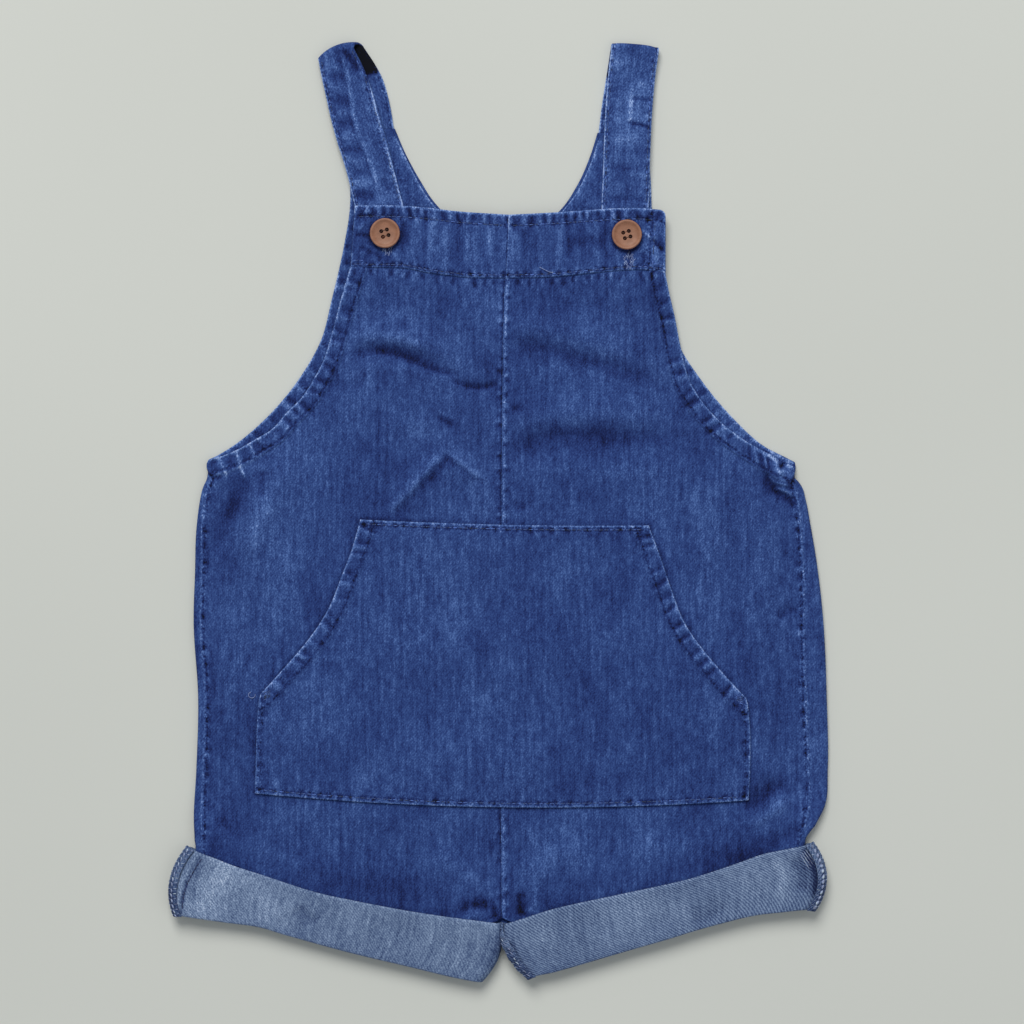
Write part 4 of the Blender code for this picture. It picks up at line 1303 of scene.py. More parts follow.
def back_points(side):
    """The back's outer surface: flat below, and round its side edge to the side seam on the front."""
    sign = SIDES[side]
    flat = np.linspace(0, 1, 84)
    wing = list(WING[side].values())
    length = path_length(np.stack(wing[:2], axis=1))
    arm_rows, side_sections = [], []
    for x, y, inner_x, inner_y in along(wing, row_shares(length, 132)[:-4]):
        inner_x = sign * max(sign * inner_x, sign * CENTRE_BACK_X)
        arm_rows.append((x, y, inner_x, inner_y, x, 0.0))
    for x, y, seam, middle in side_rows(side, 104, 12):
        inner_x = CENTRE_BACK_X + sign * parting(side, middle + BACK_CROTCH)
        side_sections.append((x, y, inner_x, middle, seam, 1.0))
    sections = joined(arm_rows, side_sections)
    turns = sections[:, 5]
    near = np.convolve(np.pad(turns, 2, "edge"), np.ones(5) / 5, "valid")
    rows = []
    for (x, y, inner_x, inner_y, seam, _), turn in zip(sections, near):
        inner = np.array([inner_x + sign * SEAM_GAP / 2, inner_y])
        x, seam = x + sign * bulge(side, y), seam + sign * bulge(side, y)
        start = np.array([x - sign * (WRAP_RADIUS * turn + 3.4 * (1 - turn)), y])
        at = np.concatenate([row_shares(np.linalg.norm(start - inner), 80)[:5], flat[6:]])
        points = between(inner, start, at[:, None])
        points = np.column_stack([points, np.zeros(len(points))])
        angle = math.pi * turn
        strip = abs(x - sign * WRAP_RADIUS - seam - sign * SEAM_GAP / 2) * turn + 3.4 * (1 - turn)
        arc = WRAP_RADIUS * angle
        run = row_shares(arc + strip, 20)[5:] * (arc + strip)
        bent = np.minimum(run, arc) / WRAP_RADIUS
        rest = np.maximum(run - arc, 0)
        x_out = WRAP_RADIUS * np.sin(bent) + rest * math.cos(angle)
        z_out = WRAP_RADIUS * (1 - np.cos(bent)) + rest * math.sin(angle)
        wrap = np.column_stack([start[0] + sign * x_out, np.full(len(run), y), z_out])
        points = np.concatenate([points, wrap])
        points[:, 2] += CUFF_FLOOR * in_cuff(points[:, 0], points[:, 1])
        rows.append(points)
    return np.array(rows)


def make_back(side):
    sign = SIDES[side]
    outside = back_points(side)
    x, y, z = np.moveaxis(outside, 2, 0)
    relief = Relief(x, y)
    relief.undulate(0.0, 21 + sign)
    relief.creases(BACK_CREASES)
    arm = along(pick(WING[side], "outer_x outer_y"), 60)
    away, share = distance_to(arm, x, y)
    length = path_length(arm)
    hem = 1 - smooth_step((away - HEM_WIDTH + 0.4) / 1.2)
    relief.edge_wear(away)
    relief.groove(away - STITCH_LINE, 0.7, 0, 0.3)
    dents = Relief(x, y)
    dents.puckers(away, share * length, length, 18, 71 + sign, HEM_WIDTH, 0.5)
    relief.deep += dents.deep
    relief.wear += dents.wear
    middle = np.abs(x - CENTRE_BACK_X)
    relief.edge_wear(middle - 0.7, 0.9, 0.4)
    # Painted shade along the centre back seam.
    relief.add(bell(middle, 0.6), 0, 0.4)
    seam_away = distance_to(seam_path(side), x, y)[0] + 6 * (z < WRAP_RADIUS)
    relief.edge_wear(seam_away, 0.8, 0.35)
    relief.edge_wear(np.abs(z - WRAP_RADIUS) + 3 * (x * sign < 90), 1.4, 0.25)
    normals = grid_normals(outside, len(outside) // 2, 20)
    low = np.where(z < WRAP_RADIUS, 1.0, 0.0)
    dent = np.clip(relief.height - np.minimum(dents.height, 0) * 0.8, 0, 0.8) * low
    under = outside + normals * dent[:, :, None]
    level = (STRAP - CLOTH) * smooth_step((y - 184) / 6)  # as thick as the strap that is sewn to it
    thick = CLOTH + 0.35 * dent + np.maximum(0.55 * hem * low, level) + np.maximum(dents.height, 0)
    over = outside + normals * thick[:, :, None]
    places = outside[:, :, :2]
    cloth(f"back_{side}", under, over, places, relief, DENIM, flat=(0.18, 0.44), area=0.0520)


def make_facing():
    columns = list(FACING_SECTIONS.values())
    rows = []
    for x, y, inner_x, inner_y in along(columns, row_shares(260, 150)):
        start, end = np.array([x, y]), np.array([inner_x, inner_y])
        at = row_shares(np.linalg.norm(end - start), 18)[:, None]
        rows.append(between(start, end, at))
    places = np.array(rows)
    x, y = np.moveaxis(places, 2, 0)
    relief = Relief(x, y)
    relief.undulate(0.08, 33)
    edge = distance_to(along(columns, 60)[:, 2:], x, y)[0]
    relief.edge_wear(edge)
    relief.groove(edge - STITCH_LINE, 0.6, 0.12, 0.3)
    under = lifted(x, y, FACING_REST + relief.height)
    over = lifted(x, y, FACING_REST + FACING + relief.height)
    sheet = {"flat": (0.16, 0.075), "area": 0.0056, "rests_on": ["back_left", "back_right"]}
    cloth("back_facing", under, over, places, relief, DENIM, **sheet)


def make_band(side):
    """Half of the doubled bib band, puckered between its top edge and its upper stitching."""
    sign = SIDES[side]
    stations = band_stations(side, row_shares(78, 110))
    height = np.linalg.norm(stations[:, :2] - stations[:, 2:], axis=1).mean()
    down = row_shares(height, 44)[:, None]
    x, y = (between(stations[:, i], stations[:, i + 2], down) for i in range(2))
    run = np.broadcast_to(np.abs(stations[:, 0] - stations[0, 0]), x.shape)
    length = run.max()
    top_away = down * height + 0 * x
    foot_away = height - top_away
    relief = Relief(x, y)
    relief.undulate(0.12, 41 + sign)
    relief.puckers(top_away, run, length, BAND_PUCKERS[side], 81 + sign, 6.4, 0.75, 1.1)
    relief.puckers(foot_away, run, length, BAND_PUCKERS[side] - 3, 85 + sign, 3.2, 0.3)
    relief.creases(FRONT_CREASES)
    relief.marks(BAND_MARKS)
    # Upright bars under the top edge: the raised ones painted lighter, as worn cloth with a highlight, the
    # sunk ones darker as painted shade.
    bars = lumps(x, y, 3.6, 26, 77 + sign) * bell(top_away - 14, 13)
    relief.add(np.maximum(bars, 0), 0.15, 0, 0.6)
    relief.add(np.maximum(-bars, 0), -0.15, 0.6)
    relief.groove(top_away - BAND_TOP_STITCH, 0.6, 0.3, 0.6)
    relief.groove(foot_away - BAND_FOOT_STITCH, 0.5, 0.2, 0.8)
    relief.edge_wear(top_away)
    relief.edge_wear(foot_away, 0.8, 0.5)
    relief.edge_wear(run)
    relief.edge_wear(length - run, 0.8, 1.0 if side == "right" else 0.1)
    # Painted shade at the left half's end by the centre.
    relief.add(bell(length - run, 0.9), 0, 0.9 if side == "left" else 0)
    if side == "right":
        relief.groove(run - BAND_END, 0.6, 0.3, 0.8)
        relief.edge_wear(run - BAND_END - 1.3, 0.6, 0.6)
    button_x, button_y = BUTTONS[side]
    near = np.hypot(x - button_x, y - button_y)
    # A painted shadow under the button and in a ring round it, reaching furthest below it.
    relief.add(bell(near, 6), -0.35, 0.25)
    relief.add(bell(np.hypot(x - button_x, y - button_y + 0.7) - 7.5, 0.9), 0, 0.8)
    pulled = bell(np.abs(y - button_y) - 8, 3) * bell(x - button_x, 8)
    relief.add(pulled, 0.15)
    y = y + 0.35 * relief.height * bell(top_away, 2.5)
    base = band_under(x)
    under = lifted(x, y, base + np.maximum(relief.height, 0) * 0.4)
    over = lifted(x, y, base + HEM + relief.height)
    sheet = {"flat": (0.078, 0.033), "rests_on": [f"strap_{side}", f"front_{side}"]}
    cloth(f"band_{side}", under, over, over[:, :, :2], relief, DENIM, **sheet)


def make_pocket():
    """The patch pocket, a little above the front, with two rippled opening hems."""
    columns = list(POCKET.values())
    opening = along([column[:POCKET_OPENING_ROWS] for column in columns], row_shares(105, 84)[:-4])
    below = along([column[POCKET_OPENING_ROWS - 1 :] for column in columns], row_shares(50, 38)[4:])[1:]
    rows = []
    for left_x, left_y, right_x, right_y, sag in [*opening, *below]:
        start, end = np.array([left_x, left_y]), np.array([right_x, right_y])
        at = row_shares(np.linalg.norm(end - start), 170)
        points = between(start, end, at[:, None])
        points[:, 1] -= sag * 4 * at * (1 - at)
        rows.append(points)
    places = np.array(rows)
    x, y = np.moveaxis(places, 2, 0)
    relief = Relief(x, y)
    relief.undulate(0.2, 51)
    relief.creases(FRONT_CREASES)
    base = front_under(x, y)
    for side in SIDES:
        curve, straight = pocket_edges(side)
        length = path_length(curve)
        away, share = distance_to(curve, x, y)
        relief.add(1 - smooth_step((away - HEM_WIDTH + 0.6) / 1.2), 0.8)
        seed = 55 + SIDES[side]
        relief.puckers(away, share * length, length, OPENING_PUCKERS[side], seed, HEM_WIDTH - 0.5, 0.65)
        relief.groove(away - STITCH_LINE)
        relief.edge_wear(away)
        away, share = distance_to(straight, x, y)
        relief.groove(away - EDGE_STITCH, 0.6, 0.2, 0.7)
        relief.edge_wear(away, 0.8, 0.9)
        relief.puckers(away, share * 50, 50, 9, seed + 4, 3.5, 0.25)
    for row, seed in ((0, 63), (-1, 65)):
        path = places[row, ::6]
        away, share = distance_to(path, x, y)
        length = path_length(path)
        relief.groove(away - EDGE_STITCH, 0.6, 0.2, 0.7)
        relief.edge_wear(away, 0.8, 1.0)
        relief.puckers(away, share * length, length, int(length / 5.5), seed, 4.0, 0.25)
    under = base + CLOTH + 0.5 + np.clip(relief.height, -0.25, 0.3)
    over = base + 2 * CLOTH + 0.5 + relief.height
    over = np.maximum(over, under + 0.7)
    under, over = lifted(x, y, under), lifted(x, y, over)
    sheet = {"flat": (0.248, 0.142), "area": 0.0288, "rests_on": ["front_left", "front_right"]}
    cloth("pocket", under, over, places, relief, DENIM, **sheet)


# The straps


def rulings(runs, count):
    """count rulings along a strap, as the two ends of each."""
    return along(list(runs.values()), count, spaced_by=6).reshape(-1, 2, 3)


STRAP_ARCH = {"left": 2.6, "right": 0.9}  # how far a strap's top bulges in its middle
OVER_ROWS, LOOP_ROWS, UNDER_ROWS = 118, 14, 46
STRAP_HOLLOW = 13  # rows under the loop with painted shade on their hidden face, where no light reaches

# Marks on the straps' fronts, as on the front
STRAP_MARKS = {
    "left": rows_of("""
0.4 1.1 0 0.75 -82 246 -78.8 233 -76.7 223 -74.2 209 -71.7 194.7 -66.9 181.4 -62.6 171.4 -59.2 158 -57 148
-0.2 1.3 0.35 0 -83.5 246 -80.4 233 -78.3 223 -75.8 209 -73.3 194.7 -68.5 181.4 -64.2 171.4 -60.8 158
-0.5 1.9 1.1 0 -80 233.4 -76.2 229 -73 225.6 -70 219
-0.25 1.7 0.38 0 -86 217 -80.6 218.4 -76 218
-0.25 1.8 0.41 0 -84 204.6 -79 205.8 -74.4 205
-0.25 1.7 0.49 0 -81 193 -76 194.2 -71.4 193.4
-0.3 1.7 0.52 0 -78 180 -72.8 181.6 -68 180
-0.25 1.8 0.41 0 -75 169 -69.8 170.2 -65 168.8
-0.3 2.4 0.68 0 -73 158 -67 158.8 -61 157
-0.15 1.8 0.26 0 -70 210.2 -65 211.4 -61 210.4
-0.15 2 0.3 0 -68 196.4 -63 197.4 -59 196
-0.15 2 0.26 0 -63.6 183.6 -59.4 184.6 -56 183
-0.2 2 0.38 0 -59.6 167 -56.6 164 -55 160
0.15 2.4 0 0.4 -87 224.6 -83 223.4 -79 222
0.15 2.2 0 0.35 -85 211.4 -79.6 212 -75.4 211
0.15 2.2 0 0.4 -82 199.4 -77 199.8 -73 199
0.15 2.2 0 0.45 -79 187.4 -74 188 -70.2 187
0.15 2.2 0 0.4 -76 175.2 -71 175.6 -67 174.4
0.15 2.2 0 0.45 -73.6 163.8 -69 164.4 -64.6 163
"""),
    "right": rows_of("""
0.3 0.9 0 0.8 66.8 216 66.4 205 65.8 194
-0.5 1 1.2 0 63.4 194.8 70 193.8 77 192
-0.4 0.8 0.75 0 66 207.2 71 206.6 76.4 205
0.2 0.9 0 0.5 64 196.8 70 195.8 76 194.4
-0.2 2.6 0.3 0 58 222 58 214 58.4 206
0.1 2.4 0 0.4 55 186 63 186.6 71 186
-0.2 2 0.38 0 54 173.4 60 172 67 172.4
0.1 2 0 0.35 64 168.2 70 168.8 76 168
-0.3 1.4 0.45 0 54 156.4 64 156.8 75 156
0.1 2.4 0 0.35 55 224 62 224.6 70 224
-0.15 2 0.3 0 66 180.6 70 180 75 181
0.1 2.6 0 0.35 68 214 72 213 77 214
"""),
}


def strap_points(side):
    """The middle of a strap's ribbon, from behind the band over its loop to the back wing."""
    over = rulings(STRAP_OVER[side], OVER_ROWS)
    under = rulings(STRAP_UNDER[side], UNDER_ROWS)
    last, first = over[-1], under[0]
    ruling = last[1, :2] - last[0, :2]
    outward = np.array([-ruling[1], ruling[0]]) / np.linalg.norm(ruling)
    rise = smooth_step((np.arange(OVER_ROWS) - OVER_ROWS + 22) / 21)
    arch = np.concatenate([rise, np.ones(LOOP_ROWS), smooth_step((14 - np.arange(UNDER_ROWS)) / 14)])
    loop = []
    for turn in np.radians(np.linspace(90, -90, LOOP_ROWS + 2))[1:-1]:
        ends = (last + first) / 2 + (last - first) / 2 * math.sin(turn)
        reach = np.abs(last[:, 2] - first[:, 2]) / 2 * math.cos(turn)
        ends[:, :2] += reach[:, None] * outward
        loop.append(ends)
    rows = []
    for (left, right), high in zip([*over, *loop, *under], arch):
        at = row_shares(np.linalg.norm(right - left), 22)[:, None]
        points = between(left, right, at)
        points[:, :2] += STRAP_ARCH[side] * high * 4 * at * (1 - at) * outward
        rows.append(points)
    return np.array(rows)


def make_strap(side):
    sign = SIDES[side]
    middle = strap_points(side)
    across = distances(middle, 1)
    run = distances(middle).mean(axis=1, keepdims=True) + 0 * across
    width = across[:, -1:].mean()
    relief = Relief(across, run)
    relief.undulate(0.12, 95 + sign)
    seen = Relief(middle[:, :, 0], middle[:, :, 1])
    seen.marks(STRAP_MARKS[side])
    relief.take(seen, run < run[OVER_ROWS - 1, 0])
    relief.wear += 0.25
    # The hidden face under each loop is painted dark, as the shade inside the loop.
    first, last = run[OVER_ROWS - 1, 0], run[OVER_ROWS + LOOP_ROWS + STRAP_HOLLOW, 0]
    relief.inner += 2.4 * smooth_step((run - first) / 2) * (1 - smooth_step((run - last) / 4))
    edge = np.minimum(across, width - across)
    relief.groove(edge - STRAP_STITCH, 0.6, 0.15, 0.35)
    relief.edge_wear(edge, 0.55, 1.8)
    length = run.max()
    relief.puckers(across, run, length, 30, 97 + sign, 3.2, 0.25, 0.5)
    relief.puckers(width - across, run, length, 30, 99 + sign, 3.2, 0.25, 0.5)
    normals = grid_normals(middle, 10, 10)
    half = STRAP / 2
    over = middle + normals * (half + relief.height[:, :, None])
    under = middle - normals * (half - 0.1 * relief.height[:, :, None])
    places = np.stack([across + 40 * sign, run], axis=2)
    cloth(f"strap_{side}", under, over, places, relief, DENIM, flat=(width * MM, length * MM))


# The cuffs


def half_turn(end, inward, radius, rising):
    """Points of a cuff's end, round from one wall to the other."""
    points = []
    for angle in np.radians(np.linspace(90, -90, 6))[1:-1]:
        x, y = end - inward * radius * math.cos(angle)
        points.append((x, y, CUFF_HEIGHT / 2 - rising * radius * math.sin(angle)))
    return points


def cuff_rings(side, downs):
    """Closed rings from the cuff's upper edge to its fold, along the middle of its wall."""
    stations = along(list(CUFF[side].values()), CUFF_STATIONS)
    radius = (CUFF_HEIGHT - HEM) / 2
    rings = []
    for down in downs:
        line = between(stations[:, :2], stations[:, 2:4], down)
        line[:, 0] += stations[:, 4] * 4 * down * (1 - down)
        first, last = line[1] - line[0], line[-2] - line[-1]
        first, last = first / np.linalg.norm(first), last / np.linalg.norm(last)
        line[0] += (CUFF_HEIGHT / 2) * first
        line[-1] += (CUFF_HEIGHT / 2) * last
        line[1] = (line[0] + line[2]) / 2
        line[-2] = (line[-1] + line[-3]) / 2
        front = np.column_stack([line, np.full(len(line), CUFF_HEIGHT - HEM / 2)])
        back = np.column_stack([line[::-1], np.full(len(line), HEM / 2)])
        inner_turn = half_turn(line[-1], last, radius, -1)
        outer_turn = half_turn(line[0], first, radius, 1)
        rings.append(np.concatenate([front, inner_turn, back, outer_turn]))
    return np.array(rings)


def ring_stretch(ring, first, last, shares):
    """Points of the smooth curve through a closed ring, from its column first to last."""
    looped = np.concatenate([ring[-3:], ring, ring[:4]])
    knots = distances(looped)
    start, end = np.interp((first + 3, last + 3), np.arange(len(knots)), knots)
    return along(list(looped.T), (start + (end - start) * shares) / knots[-1], spaced_by=3)


def cuff_grid(side):
    """A cuff's fine rings, and each point's place in its cloth."""
    downs = row_shares(CUFF_DEPTH, 27)
    even = np.arange(270) / 270
    rings = np.array([ring_stretch(ring, 0, len(ring), even) for ring in cuff_rings(side, downs)])
    looped = np.concatenate([rings, rings[:, :1]], axis=1)
    run = distances(looped, 1)
    run *= run[0, -1] / run[:, -1:]
    places = np.stack([-SIDES[side] * run, 0 * run - CUFF_DEPTH * downs[:, None]], axis=2)
    return rings, places, downs


# Creases of the cuffs, on the front wall
CUFF_DENTS = rows_of("""
-0.9 3 -90 -205 -96 -201 -100 -196
-0.7 4 -112 -205 -104 -209 -96 -211
-0.4 4 -60 -205 -50 -210 -40 -216
-0.4 4 -30 -212 -22 -216 -14 -222
-1 3.4 96 -204 106 -202 114 -195
-0.5 4 74 -208 80 -205 88 -203
-0.4 4 40 -204 48 -206 56 -212
-0.8 3 146 -172 150 -180 149 -190
0.4 5 120 -178 128 -182 138 -180
""")


def make_cuff(side):
    sign = SIDES[side]
    rings, places, downs = cuff_grid(side)
    x, y, z = np.moveaxis(rings, 2, 0)
    relief = Relief(x, y)
    relief.undulate(0.22, 105 + sign)
    relief.creases(CUFF_DENTS, 0.8, 0.7)
    relief.marks(CUFF_MARKS)
    relief.wear += 0.16 if side == "left" else 0.0
    top_away = CUFF_DEPTH * downs[:, None] + 0 * x
    relief.edge_wear(top_away, 0.8, 0.3)
    relief.edge_wear(CUFF_DEPTH - top_away, 1.4, 0.12)
    # Painted shade near the cuff's fold.
    relief.add(bell(CUFF_DEPTH - top_away, 4), 0, 0.12)
    relief.height *= smooth_step((z - 2) / 3)
    normals = grid_normals(rings, 10, 60, closed=True)
    half = HEM / 2
    over = rings + normals * (half + relief.height[:, :, None])
    under = rings - normals * half
    sheet = {"slot": "denim_wrong_side", "flat": (0.34, 0.035), "area": 0.0112}
    cloth(f"cuff_{side}", under, over, places, relief, WRONG_SIDE[side], closed=True, **sheet)


def make_allowance(name, side, first, last):
    """An overlocked seam allowance on a cuff, from one column of its ring to another."""
    sign = SIDES[side]
    downs = row_shares(CUFF_DEPTH, 60)
    shares = row_shares(ALLOWANCE_WIDTH, 10)
    slide = INSEAM_SLIDE * (1 - smooth_step(downs / 0.5)) * (name == "inseam_right")
    rings = zip(cuff_rings(side, downs), slide)
    strip = np.array([ring_stretch(ring, first + by, last + by, shares) for ring, by in rings])
    normals = grid_normals(strip, 30, 8)
    run = CUFF_DEPTH * downs[:, None] + 0 * strip[:, :, 0]
    across = ALLOWANCE_WIDTH * shares[None, :] + 0 * run
    relief = Relief(across, run)
    relief.undulate(0.1, 121 + sign)
    # Ripples with painted shade along them, and painted shade over the whole allowance, strongest in its
    # lower part.
    relief.add(np.sin(run * 2.9 + across), 0.1, 0.12)
    upper = 1 - smooth_step((run - 12) / 12)
    relief.add(upper, 0, 0.35)
    relief.add(1 - upper, 0, 0.9)
    relief.add(np.sin(run * 0.9 + 1), 0.3 * (name == "inseam_right"))
    relief.edge_wear(across, 0.6, 0.3)
    relief.edge_wear(ALLOWANCE_WIDTH - across, 0.6, 0.3)
    base = HEM / 2 + 0.3
    under = strip + normals * base
    over = under + normals * (FACING + relief.height[:, :, None])
    places = np.stack([across, -run], axis=2)
    width = distances(under, 1)[:, -1].mean()
    sheet = {"flat": (0.0105, 0.035), "area": width * MM * 0.035, "rests_on": [f"cuff_{side}"]}
    cloth(name, under, over, places, relief, WRONG_SIDE[side], slot="denim_wrong_side", **sheet)
    return strip + normals * (base + FACING + 0.12)


# Sewing

STITCH = 2.7
STITCH_RADIUS = 0.21
ARCH = ((0.05, -0.75, 0.55), (0.22, 0.25, 0.95), (0.5, 0.55, 1.0), (0.78, 0.25, 0.95), (0.95, -0.75, 0.55))


class Threads:
    """Many short round threads, made as one mesh."""

    def __init__(self, name, look, slot):
        self.name, self.look, self.slot = name, look, slot
        self.points, self.faces = [], []

    def strand(self, path, radii, sides=6):
        path = np.asarray(path, float)
        radii = np.broadcast_to(radii, len(path))
        along_it = np.gradient(path, axis=0)
        along_it /= np.maximum(np.linalg.norm(along_it, axis=1, keepdims=True), 1e-9)
        steady = np.where(np.abs(along_it[:, 2:]) > 0.9, (1.0, 0.0, 0.0), (0.0, 0.0, 1.0))
        aside = np.cross(along_it, steady)
        aside /= np.linalg.norm(aside, axis=1, keepdims=True)
        above = np.cross(aside, along_it)
        turn = 2 * math.pi * np.arange(sides) / sides
        ring = np.cos(turn)[None, :, None] * aside[:, None] + np.sin(turn)[None, :, None] * above[:, None]
        start = len(self.points)
        self.points.extend((path[:, None] + radii[:, None, None] * ring).reshape(-1, 3).tolist())
        for row in range(len(path) - 1):
            for i in range(sides):
                j = (i + 1) % sides
                here, there = start + row * sides, start + (row + 1) * sides
                self.faces.append((here + i, here + j, there + j, there + i))
        self.faces.append(tuple(start + i for i in reversed(range(sides))))
        last = start + (len(path) - 1) * sides
        self.faces.append(tuple(last + i for i in range(sides)))

    def row(self, tree, path, pitch=STITCH, below=False, radius=STITCH_RADIUS):
        """A row of stitches along a path, on the upper or the lower face of a piece."""
        path = np.asarray(path, float)
        run = distances(path[:, :2])
        for start in np.arange(0.4 * pitch, run[-1] - pitch, pitch):
            at = start + pitch * np.array([share for share, _, _ in ARCH])
            places = zip(np.interp(at, run, path[:, 0]), np.interp(at, run, path[:, 1]))
            self.stitch(tree, places, radius, -1 if below else 1)

    def stitch(self, tree, places, radius, out=1):
        """One stitch through five places, sunk into the cloth at both ends."""
        bent = []
        for (x, y), (_, rise, _) in zip(places, ARCH):
            hit = tree.ray_cast(Vector((x * MM, y * MM, out * 0.1)), Vector((0, 0, -out)))[0]
            if hit is None:
                return
            bent.append((x, y, max(hit.z / MM + out * rise * radius, -0.05)))
        self.strand(bent, [radius * size for _, _, size in ARCH])

    def make(self):
        mesh = bpy.data.meshes.new(self.name)
        mesh.from_pydata((np.array(self.points) * MM).tolist(), [], self.faces)
        mesh.shade_smooth()
        mesh.materials.append(self.look)
        declare(placed(self.name, mesh), None, self.slot)


def inset(path, distance):
    """A path moved sideways, to the right of its direction where distance is above zero."""
    path = np.asarray(path, float)
    way = np.gradient(path, axis=0)
    way /= np.linalg.norm(way, axis=1, keepdims=True)
    return path + distance * np.column_stack([way[:, 1], -way[:, 0]])


def sew_front(threads):
    for side, sign in SIDES.items():
        front, band, back = (tree_of(f"{name}_{side}_cloth") for name in ("front", "band", "back"))
        threads.row(front, inset(armhole_path(side), -sign * STITCH_LINE))
        seam = seam_path(side)
        threads.row(front, inset(seam, -sign * SEAM_STITCH))
        threads.row(back, inset(seam, sign * 1.7))
        stations = band_stations(side, 60)
        height = np.linalg.norm(stations[:, :2] - stations[:, 2:], axis=1)[:, None]
        down = (stations[:, 2:] - stations[:, :2]) / height
        upper = stations[:, :2] + BAND_TOP_STITCH * down
        lower = stations[:, 2:] - BAND_FOOT_STITCH * down
        first = 5 if side == "right" else 1
        threads.row(band, upper[first:])
        threads.row(band, lower)
        threads.row(band, (lower - 1.9 * down)[:6])
        if side == "right":
            shares = np.linspace(0, 1, 20)[:, None]
            threads.row(band, between(upper[first], lower[first], shares))


def sew_pocket(threads):
    pocket = tree_of("pocket_cloth")
    left, right = (np.stack(pocket_edge(side), axis=1) for side in SIDES)
    for sag, row in ((POCKET["sag"][0], 0), (POCKET["sag"][-1], -1)):
        share = np.linspace(0.012, 0.988, 60)[:, None]
        line = between(left[row], right[row], share)
        line[:, 1] -= (sag * 4 * share * (1 - share))[:, 0]
        line[:, 1] += -EDGE_STITCH if row == 0 else EDGE_STITCH
        threads.row(pocket, line)
    for side, sign in SIDES.items():
        curve, straight = pocket_edges(side)
        threads.row(pocket, inset(curve, -sign * STITCH_LINE))
        threads.row(pocket, inset(straight, -sign * EDGE_STITCH))
        corner = straight[0]
        for turn in range(9):
            y = corner[1] + 0.6 - 0.45 * turn
            sway = 0.5 * (-1) ** turn
            bar = np.array([(corner[0] - sign * 1.2, y + sway), (corner[0] - sign * 6.2, y + 2.2 - sway)])
            threads.row(pocket, bar, 2.3, radius=0.17)


def sew_straps(threads):
    for side in SIDES:
        strap = tree_of(f"strap_{side}_cloth")
        over, under = rulings(STRAP_OVER[side], 80), rulings(STRAP_UNDER[side], 40)
        for edge, other in ((0, 1), (1, 0)):
            for rows, below in ((over, False), (under, True)):
                way = rows[:, other, :2] - rows[:, edge, :2]
                way /= np.linalg.norm(way, axis=1, keepdims=True)
                threads.row(strap, rows[:, edge, :2] + STRAP_STITCH * way, below=below)


def sew_back(threads):
    """The rows that show on the underside, at the neck, the armholes and the centre back seam."""
    for side, sign in SIDES.items():
        back, facing = tree_of(f"back_{side}_cloth"), tree_of("back_facing_cloth")
        wing = WING[side]
        arm = along(pick(wing, "outer_x outer_y"), 60)
        neck = along([wing["inner_x"][:7], wing["inner_y"][:7]], 40)
        threads.row(back, inset(arm, -sign * STITCH_LINE), below=True)
        threads.row(back, inset(neck, sign * 2.4), below=True)
        threads.row(facing, inset(neck, sign * 2.6))
        for up in (2.2, 8.2):
            line = np.array([(wing["inner_x"][0] + sign * 1, -up), (wing["outer_x"][0] - sign * 1, -up)])
            line[:, 1] += wing["outer_y"][0]
            threads.row(back, line, below=True)
        middle = np.array([(CENTRE_BACK_X + sign * 1.7, 134.0), (CENTRE_BACK_X + sign * 1.7, -198.0)])
        threads.row(back, middle, below=True)


def overlock(threads, grid, pitch, size, seed):
    """The loops of an overlocked edge: threads slant across the strip and chain along its edge."""
    rows, columns = grid.shape[:2]
    chance = np.random.default_rng(seed)
    run = distances(grid[:, columns // 2])

    def point(at, share):
        row = np.interp(at, run, np.arange(rows))
        column = share * (columns - 1)
        i, j = min(int(row), rows - 2), min(int(column), columns - 2)
        s, t = row - i, column - j
        low = grid[i, j] * (1 - t) + grid[i, j + 1] * t
        return low * (1 - s) + (grid[i + 1, j] * (1 - t) + grid[i + 1, j + 1] * t) * s

    for at in np.arange(0.8, run[-1] - 1.2, pitch):
        drift = chance.uniform(-0.2, 0.2)
        for first, last, lean in ((0.05, 0.36, 0.8), (0.62, 0.92, -0.7)):
            shares = np.linspace(first, last, 5)
            bent = [point(at + drift + lean * (share - first) * 2, share) for share in shares]
            threads.strand(bent, chance.uniform(0.5, 1) * np.array([0.08, 0.16, 0.18, 0.16, 0.08]))
        steps = np.linspace(0, pitch * 0.8, 5)
        bent = [point(at + drift + step, 0.46 + 0.08 * math.sin(step)) for step in steps]
        threads.strand(bent, size * chance.uniform(0.6, 1) * np.array([0.2, 0.8, 1, 0.8, 0.2]))


def buttonhole(threads, band, x, y, seed):
    """A worn buttonhole: a long patch of short uneven stitches, most of them along it."""
    chance = np.random.default_rng(seed)
    for turn in np.arange(0, 2 * math.pi, 0.18):
        spread = math.sqrt(chance.uniform(0.1, 1))
        middle = np.array([x + 3 * spread * math.cos(turn), y + 4 * spread * math.sin(turn)])
        lean = chance.uniform(-0.9, 0.9)
        way = chance.uniform(0.8, 1.5) * np.array([math.sin(lean), math.cos(lean)])
        threads.stitch(band, middle + np.linspace(-way, way, 5), 0.13)


def loose_thread(threads, tree, turns, rise):
    """A thread end that lies loosely on the cloth, through these places."""
    path = along([np.array(column, float) for column in zip(*turns)], 26)
    heights = []
    for (x, y), share in zip(path, np.linspace(0, 1, len(path))):
        hit = tree.ray_cast(Vector((x * MM, y * MM, 0.1)), Vector((0, 0, -1)))[0]
        heights.append(hit.z / MM + 0.2 + rise * math.sin(math.pi * share) ** 2)
    threads.strand(np.column_stack([path, heights]), 0.17)


# The buttons

